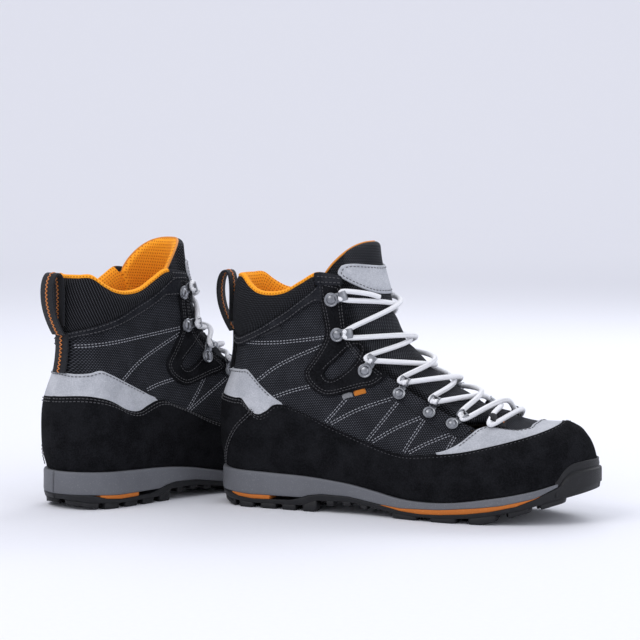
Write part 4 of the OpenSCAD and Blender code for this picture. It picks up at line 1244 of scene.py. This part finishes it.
def zigzag(path, normals, across, thread, pitch=3.0):
    """Zigzag stitching down the middle of a tape."""
    path, normals = resample(path, pitch / 2, normals)
    swing = np.where(np.arange(len(path)) % 2 == 0, 1, -1)[:, None] * ZIGZAG
    dots = path + across * swing
    for i in range(len(dots) - 1):
        dash = np.linalg.norm(dots[i + 1] - dots[i]) - 0.3
        thread.sew(dots[i:i + 2], normals[i:i + 2], pitch=9, dash=dash, radius=0.4, lead=0.1)


def make_pull_tab(side, orange):
    across = np.array([0.0, 1.0, 0.0])
    flat = resample(smooth_line(LOOP), 1.6)
    path = np.stack([flat[:, 0], 0 * flat[:, 0], flat[:, 1]], -1)
    along = unit(np.gradient(path, axis=0))
    out = np.cross(along, across)
    section = rounded_box(LOOP_W, LOOP_T, 0.6)
    run = run_of(path)
    bundle = Bundle()
    faces = loft_faces(len(path), len(section))
    bundle.add(sweep(path, across + 0 * path, out, section), faces, pairs(section[:, 0], run[:, None]))
    h = np.linspace(84, 131, 34)
    stay = skin(0 * h, h, 0.9 + 0 * h)
    stay_out = normal_at(0 * h, h)
    stay[:, 1] = 0
    stay_out[:, 1] = 0
    curve_in = pairs(section[:, 0], section[:, 1] - 0.012 * section[:, 0] ** 2)
    faces = loft_faces(len(stay), len(section))
    bundle.add(sweep(stay, across + 0 * stay, unit(stay_out), curve_in), faces,
        pairs(section[:, 0], run_of(stay)[:, None]))
    bundle.make("pull_tab", side, WEBBING, replaced=["pull_tab"], slot="webbing")
    for flip in (-1, 1):
        zigzag(path + flip * out * (LOOP_T / 2), flip * out, across, orange)
    zigzag(stay + stay_out * (LOOP_T / 2), stay_out, across, orange)


# ---- lacing ----

# [column and height of the rivet, column and height of the lace], top to bottom
FITTINGS_OUTER = [[16.6, 162, 18, 165], [16.8, 132, 18.1, 134], [16.3, 97, 17.7, 105],
    [16.7, 80, 18.3, 89], [16.9, 66, 18.4, 74], [17.2, 57, 18.7, 62]]
FITTINGS_INNER = [[16.6, 163, 18, 167], [16.8, 134, 18.1, 136], [16.4, 101, 17.7, 109],
    [16.7, 86, 18.3, 95], [16.9, 71, 18.4, 79], [17.2, 60, 18.7, 65]]
ARM = 9.5
RING_R = LACE_D / 2 + WIRE_D / 2 + 0.35
BASE_UP = 0.8
PLATE_T = 0.9
LACE_UP = BASE_UP + PLATE_T + RING_R - WIRE_D / 2 + 0.1
HOOK_W = 7.4
HOOK_RIVET = 1.13
TOE_LOOPS = [[19.6, 55], [28.4, 55]]
TOE_LACE_UP = LACE_D / 2 + 1.05


class Spot:
    """A frame on the boot: an origin and three directions."""

    def __init__(self, origin, x, z):
        self.origin, self.axes = origin, np.stack([x, np.cross(z, x), z])

    def at(self, points):
        return np.asarray(points, float) @ self.axes + self.origin


def fitting_spot(i, inner):
    """On the suede at the rivet, X towards the lace and Z out of the boot."""
    row = (FITTINGS_INNER if inner else FITTINGS_OUTER)[i]
    k, l = (row[0], row[2]) if inner else (RING - row[0], RING - row[2])
    t, s = place(k, row[1]), place(l, row[3])
    p, q = last_point(t, row[1]), last_point(s, row[3])
    z = unit(normal_at(t, row[1]) + normal_at(s, row[3]))
    x = unit(q - p - z * ((q - p) @ z))
    return Spot(p, x, z)


def toe_spot(i):
    k, h = TOE_LOOPS[i]
    t = place(k, h)
    z = normal_at(t, h)
    y = unit(np.cross(z, [0.25, 1 if i == 0 else -1, 0]))
    return Spot(last_point(t, h), np.cross(y, z), z)


def strip(path_xz, width, thick, radius=0.4):
    """A bent strip of sheet metal: X and Z along it, width along Y."""
    path = np.stack([path_xz[:, 0], 0 * path_xz[:, 0], path_xz[:, 1]], -1)
    along = unit(np.gradient(path, axis=0))
    across = np.array([0.0, 1.0, 0.0]) + 0 * path
    section = rounded_box(width, thick, radius)
    return sweep(path, across, np.cross(along, across), section), loft_faces(len(path), len(section))


def arc(centre, radius, start, end, steps=16):
    a = np.radians(np.linspace(start, end, steps))
    return np.stack([centre[0] + radius * np.cos(a), centre[1] + radius * np.sin(a)], -1)


RIVET_PROFILE = [(0, 2.3), (1.0, 2.22), (1.9, 1.95), (2.6, 1.5), (3.0, 1.0), (3.15, 0.62), (3.35, 0.5),
    (3.75, 0.52), (4.0, 0.75), (4.4, 0.85), (4.75, 0.6), (4.8, 0.2), (4.6, 0.0), (0, 0.0)]
WASHER_PROFILE = [(0, 0.9), (4.0, 0.9), (4.5, 0.75), (4.65, 0.45), (4.5, 0.1), (4.2, 0), (0, 0)]
SADDLE_W = 5.6
RING_Y = 2.9


def wire_ring(centre, y):
    """One round wire ring of an eyelet, at Y."""
    turn = np.linspace(0, 2 * math.pi, 33)[:-1]
    ring = np.stack([centre[0] + RING_R * np.cos(turn), y + 0 * turn,
        centre[1] + RING_R * np.sin(turn)], -1)
    out = unit(ring - [centre[0], y, centre[1]])
    across = np.array([0.0, 1.0, 0.0]) + 0 * ring
    spin = np.arange(10) * math.pi / 5
    wire = WIRE_D / 2 * 0.8 * np.stack([np.cos(spin), np.sin(spin)], -1)
    return sweep(ring, out, across, wire), loft_faces(32, 10, True)


def make_fittings(side):
    rivets, hooks, eyelets = Bundle(), Bundle(), Bundle()
    dome, dome_faces = turned(RIVET_PROFILE)
    washer, washer_faces = turned(WASHER_PROFILE)
    centre = (ARM, LACE_UP)
    under = LACE_UP - RING_R
    for inner in (True, False):
        for i in range(6):
            spot = fitting_spot(i, inner)
            metal = hooks if i < 3 else eyelets
            wide = np.array([1, 1, 1]) * (HOOK_RIVET if i < 3 else 1) ** np.array([1, 1, 0])
            rivets.add(spot.at(dome * wide + [0, 0, BASE_UP + PLATE_T]), dome_faces)
            metal.add(spot.at(washer * wide + [0, 0, BASE_UP - 0.1]), washer_faces)
            neck = pairs(np.linspace(1.5, ARM, 8), under)
            if i < 3:
                bend = np.concatenate([neck[:-1], arc(centre, RING_R, -90, 128)])
                parts = [strip(bend, HOOK_W, PLATE_T)]
            else:
                saddle = arc(centre, RING_R + 0.1, -100, 40)
                parts = [strip(line, SADDLE_W, PLATE_T) for line in (neck, saddle)]
                parts += [wire_ring(centre, y) for y in (-RING_Y, RING_Y)]
            for points, faces in parts:
                metal.add(spot.at(points), faces)
    for name, bundle, node in (("rivets", rivets, "rivets"), ("lace_hooks", hooks, "hooks"),
            ("lace_eyelets", eyelets, "eyelets")):
        bundle.make(name, side, METAL, replaced=[node], slot="metal")


# The lace's stops down one zigzag to the toe, across, and up the other: [fitting, inner side]
DOWN = [[0, False], [1, True], [2, False], [3, True], [4, False], [5, True]]
UP = [[5, False], [4, True], [3, False], [2, True], [1, False], [0, True]]
BITE = 3.4
CROSS_LOW = 0.0
CROSS_HIGH = 4.3


def lace_route():
    """Points listed along the lace, as in part.scad."""
    def stop(i, inner, down):
        s = (1 if inner else -1) * (-1 if down else 1)
        return list(fitting_spot(i, inner).at([[ARM + 1.5, s * BITE, LACE_UP], [ARM - 0.6, 0, LACE_UP],
            [ARM + 1.5, -s * BITE, LACE_UP]]))

    def over(t, h, depth):
        return last_point(t, h) + depth * normal_at(t, h)

    def middle(a, b):
        return (FITTINGS_INNER[a][3] + FITTINGS_OUTER[b][3]) / 2 + 7

    points = [over(1.13, 163.5, 0.6), over(1.2, 166.5, 1)]
    for s, (i, inner) in enumerate(DOWN):
        points += stop(i, inner, True)
        points.append(over(1, middle(s, s + 1), CROSS_LOW) if s < 5 else over(1, 66, 0.8))
    points += list(toe_spot(1).at([[-6, 0, TOE_LACE_UP], [6, 0, TOE_LACE_UP]]))
    points.append(over(1, 57, TOE_LACE_UP + 1.2))
    points += list(toe_spot(0).at([[6, 0, TOE_LACE_UP], [-6, 0, TOE_LACE_UP]]))
    points.append(over(1, 66, 5))
    for s, (i, inner) in enumerate(UP):
        points += stop(i, inner, False)
        if s < 5:
            points.append(over(1, middle(5 - s, 4 - s), CROSS_HIGH))
    points += [over(0.8, 167, 1), over(0.87, 163.5, 0.6)]
    return np.array(points)


def rounded_route(points, per=8, ease=0.55):
    """Smooth curve through points, with tangents that ease keeps short."""
    before = np.concatenate([points[:1], points[:-1]])
    after = np.concatenate([points[1:], points[-1:]])
    tangent = ease * (after - before)
    u = np.arange(per)[:, None] / per
    lines = [cubic(u, points[i], points[i + 1], tangent[i], tangent[i + 1]) for i in range(len(points) - 1)]
    return np.concatenate(lines + [points[-1:]])


def make_lace(side):
    path = resample(rounded_route(lace_route()), 0.7)
    sides, ups = carried_frames(path)
    run = run_of(path)[:, None]
    turn = np.arange(16)[None, :] * math.pi / 8
    strand = 2 * math.pi * run / 4.4
    swell = 1 + 0.045 * np.sin(4 * turn + strand) * np.sin(4 * turn - strand)
    radius = LACE_D / 2 * swell
    section = np.stack([radius * np.cos(turn), radius * np.sin(turn)], -1)
    piece("lace", sweep(path, sides, ups, section), loft_faces(len(path), 16), side, LACE, replaced=["lace"],
        slot="lace", uv=pairs(run, LACE_D / 2 * turn))


def make_toe_loops(side, orange):
    """Webbing loops that hold the lace at the foot of the throat, each with two orange bars."""
    bundle = Bundle()
    for i in (0, 1):
        spot = toe_spot(i)
        loop = arc((0, TOE_LACE_UP), LACE_D / 2 + 0.75, -75, 255, 28)
        foot = np.array([[10.5, 0.55], [5.5, 0.55], [2.6, 0.8]])
        side_line = np.concatenate([foot, loop[1:-1]])
        path = np.stack([0 * side_line[:, 0], side_line[:, 0], side_line[:, 1]], -1)
        along = unit(np.gradient(path, axis=0))
        across = np.array([1.0, 0.0, 0.0]) + 0 * path
        section = rounded_box(8, 1.0, 0.4)
        points = sweep(path, across, np.cross(along, across), section)
        uv = pairs(section[:, 0], run_of(path)[:, None])
        bundle.add(spot.at(points), loft_faces(len(path), len(section)), uv)
        up = spot.axes[2]
        for y in (6.4, 8.6):
            bar = spot.at([[-3, y, 1.05], [3, y, 1.05]])
            orange.sew(bar, np.array([up, up]), pitch=3.2, dash=2.4)
    bundle.make("toe_loops", side, WEBBING, replaced=["toe_loops"], slot="webbing")


# ---- sole ----

BOARD_UP = 2.4
BOARD_T = 1.8
FOOTBED_DISH = 2.4
FOOTBED_T = 5
FOOTBED_UP = BOARD_UP + BOARD_T + FOOTBED_DISH / 2 + 0.4


def edge_point(k, out):
    """Plan position of the sole's edge at column k, moved out by out."""
    k = np.asarray(k, float)
    t = place(k, 0)
    p, n = last_point(t, 0), normal_at(t, 0)
    q = unit(n[..., :2])
    return p[..., :2] + np.asarray(out)[..., None] * q


def sole_columns(start, end, count=150):
    """Columns that are close together at the two ends of the boot."""
    a = np.linspace(0, math.pi, count)
    even = np.linspace(start, end, count)
    return 0.75 * even + 0.25 * (start + (end - start) * (1 - np.cos(a)) / 2)


def sole_loft(bundle, low, high, start, end, wall, up_low=0.0, up_high=0.0, dish=0.0):
    """Solid layer of the sole between two lines. wall is [share of the height, overhang] from low
    to high. Its edges are rounded, and dish is the depth of its hollow middle."""
    loops = []

    def line_at(line, x):
        return curve(line, x) if line is SOLE else straight(line, x)

    for k in sole_columns(start, end):
        rims = []
        for column in (RING - k, k):
            rim = []
            for share, out in wall:
                x, y = edge_point(column, out)
                z_low, z_high = line_at(low, x) + up_low, line_at(high, x) + up_high
                rim.append([x, y, z_low + share * (z_high - z_low)])
            rims.append(np.array(rim))
        right, left = rims
        across = np.linspace(0, 1, 9)[1:-1, None]
        top = right[-1] + (left[-1] - right[-1]) * across
        top[:, 2] -= dish * 4 * (across * (1 - across))[:, 0]
        bottom = left[0] + (right[0] - left[0]) * across
        loops.append(np.concatenate([right, top, left[::-1], bottom]))
    loops = np.array(loops)
    bundle.add(loops, loft_faces(*loops.shape[:2]), loops[..., [0, 2]])


# Walls: share of the layer's height and how far it stands out past the upper
MID_WALL = [[0, 1.4], [0, 2.4], [0.05, 2.75], [0.15, 2.9], [0.4, 2.75], [0.7, 2.7], [0.86, 2.75],
    [0.93, 2.6], [0.985, 2.15], [1, 1.6]]
ACCENT_WALL = [[0, 1.6], [0.05, 2.5], [0.2, 2.85], [0.8, 2.9], [0.95, 2.6], [1, 1.6]]
OUT_WALL = [[0, 0.6], [0.03, 1.4], [0.25, 1.8], [0.75, 2.5], [0.93, 2.6], [1, 2.0]]
BED_WALL = [[0, -10.2], [0.1, -9.3], [0.5, -8.9], [0.88, -9.2], [1, -10.4]]

ACCENT_TOP = [[x, max(straight(MID_LOW, x), straight(OUT_TOP, x) + 0.3)] for x in range(0, 300, 2)]

# Lugs along the outer edge, from the side: where each starts and ends on the ground
EDGE_LUGS = [[3, 19], [21.5, 35], [40, 54], [58, 71], [76, 89], [96, 103], [110, 117], [124, 131],
    [150, 173], [182, 204], [212, 234], [241, 257], [263, 279]]
LUG_DEEP = 13
LUG_FLARE = 1.3
LUG_IN = 17


def lug(bundle, outline, round_r=1.2):
    """A tread lug with a flared root and a rounded foot, from its plan outline on the ground."""
    loop = smooth_line(outline, closed=True, rounds=2)
    centre = loop.mean(0)
    size = np.abs(loop - centre).max()
    foot = np.minimum(straight(GROUND, loop[:, 0]), straight(TREAD, loop[:, 0]) - 0.2)
    root = straight(TREAD, loop[:, 0]) + 1.5
    rings = []
    for rise, grow in ((0, -0.9), (0.12, -0.3), (0.4, 0.0), (None, LUG_FLARE)):
        plan = centre + (loop - centre) * (1 + grow / size)
        z = root if rise is None else foot + rise * round_r
        rings.append(np.column_stack([plan, z]))
    rings = np.array(rings)
    bundle.add(rings, loft_faces(len(rings), len(loop)))


def column_at(x, inner):
    """Column whose sole edge lies at X."""
    k = np.linspace(0.05, TOE - 0.05, 600)
    columns = k if inner else RING - k
    return columns[np.argmin(np.abs(last_point(place(columns, 0), 0)[:, 0] - x))]


def edge_lug_outline(start, end, inner):
    outer_rim = [edge_point(column_at(x, inner), 0.9) for x in np.linspace(start, end, 4)]
    sign = -1 if inner else 1
    lead = 1.5 * sign
    inside = [[end - 2, outer_rim[-1][1] + sign * LUG_DEEP + lead],
        [start + 2, outer_rim[0][1] + sign * LUG_DEEP]]
    return np.concatenate([outer_rim, inside])


def make_outsole(side):
    bundle = Bundle()
    sole_loft(bundle, TREAD, OUT_TOP, 0.12, 23.9, OUT_WALL)
    for start, end in EDGE_LUGS:
        for inner in (True, False):
            lug(bundle, edge_lug_outline(start, end, inner))
    for x in np.arange(30, 262, 21):
        low = edge_point(column_at(x, False), 0)[1] + LUG_IN
        high = edge_point(column_at(x, True), 0)[1] - LUG_IN
        if high - low < 9:
            continue
        middle = (low + high) / 2
        for a, b in [(low, high)] if x < 140 else [(low, middle - 2), (middle + 2, high)]:
            lug(bundle, [[x - 6, a], [x + 5, a + 1], [x + 8, (a + b) / 2], [x + 5, b - 1], [x - 6, b],
                [x - 3, (a + b) / 2]])
    bundle.make("outsole", side, RUBBER, replaced=["outsole"], slot="rubber")


BUMPER_TOP = [[0.8, -2], [0.83, 2.5], [0.85, 8], [0.87, 10.6], [0.91, 10.4], [0.96, 9.2], [1, 8.2]]


def make_bumper(side):
    """Rubber of the outsole that wraps up over the toe, with a groove along it."""
    def groove(t, h, away, long):
        fade = smooth((long - 4) / 6)
        below = long - away
        return (1.3 * smooth((below - 6.4) / 1.0) - 0.7 * np.exp(-(((below - 6) / 0.7) ** 2))) * fade
    panel("toe_bumper", -9, BUMPER_TOP, 19.3, 28.7, (0.3, 1.5), side, RUBBER, step=1.3,
        sewn=(False, True, True, True), shape=groove, slot="rubber")


def make_sole(side):
    make_outsole(side)
    make_bumper(side)
    foam = Bundle()
    sole_loft(foam, MID_LOW, SOLE, 0.12, 19.4, MID_WALL, up_high=-0.1)
    foam.make("midsole", side, FOAM, replaced=["midsole"], slot="foam")
    accent = Bundle()
    for start, end in ((3.6, 6.2), (11.4, 18.3)):
        sole_loft(accent, OUT_TOP, ACCENT_TOP, start, end, ACCENT_WALL)
    accent.make("accent_layer", side, ORANGE_FOAM, replaced=["accent_layer"], slot="orange_foam")
    bed = Bundle()
    sole_loft(bed, SOLE, SOLE, 1.2, 21.5, BED_WALL, up_low=FOOTBED_UP, up_high=FOOTBED_UP + FOOTBED_T,
        dish=FOOTBED_DISH)
    bed.make("footbed", side, INSOLE_CLOTH, replaced=["footbed"], body="insole", slot="insole")


# ---- both boots ----

HIDDEN_LOOKS = {"shank": STEEL, "lasting_board": BOARD, "heel_counter": BOARD, "toe_puff": BOARD}


def make_boot(side):
    black, grey, pale, orange = Thread(), Thread(), Thread(), Thread()
    make_shell_of_upper(side, black, grey)
    sew_quarters(pale)
    for inner in (True, False):
        make_ankle_patch(side, inner, black)
    make_tags(side)
    make_collar(side)
    make_collar_front(side, black)
    make_lining(side)
    make_tongue(side)
    make_tongue_patch(side, grey)
    make_pull_tab(side, orange)
    make_fittings(side)
    make_lace(side)
    make_toe_loops(side, orange)
    make_sole(side)
    black.make("thread_black", side, BLACK_THREAD, "dark_suede")
    grey.make("thread_grey", side, GREY_THREAD, "grey_suede")
    pale.make("thread_pale", side, PALE_THREAD, "mesh")
    orange.make("thread_orange", side, ORANGE_THREAD, "webbing")
    for node, look in HIDDEN_LOOKS.items():
        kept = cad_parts[f"{side}_{node}"]
        kept.data.materials.clear()
        kept.data.materials.append(look)


for side in ("right", "left"):
    make_boot(side)


# ---- floor and backdrop ----


def make_stage():
    """A floor that curves up into the wall behind, in one sheet, with the wall painted lighter than the
    floor as painted light.
    """
    radius, back, front, tall, half = 3.0, 8.0, -9.0, 7.0, 14.0
    profile = [(front, 0.0), (back - radius, 0.0)]
    profile += [(back - radius + radius * math.sin(a), radius - radius * math.cos(a))
        for a in np.linspace(0.05, math.pi / 2, 20)]
    profile.append((back, tall))
    points = [(x, y, z) for y, z in profile for x in (-half, half)]
    mesh = bpy.data.meshes.new("stage")
    mesh.from_pydata(points, [], grid_faces(len(profile), 2))
    mesh.shade_smooth()
    look = Look("paper")
    fine = look.noise(220, 2)
    split = look.node("ShaderNodeSeparateXYZ", Vector=look.place())
    # Painted light: the paper is coloured brighter going back from 0.8 m to 5 m, up the wall
    wall = look.step(split.outputs[1], 0.8, 5.0)
    floor = look.mix(fine, (0.79, 0.80, 0.845), (0.82, 0.83, 0.875))
    mesh.materials.append(look.finish(look.mix(wall, floor, (0.95, 0.955, 0.985)), 0.85))
    thing = bpy.data.objects.new("stage", mesh)
    thing.rotation_euler = (0, 0, math.radians(CAMERA_TURN))
    bpy.context.scene.collection.objects.link(thing)


make_stage()
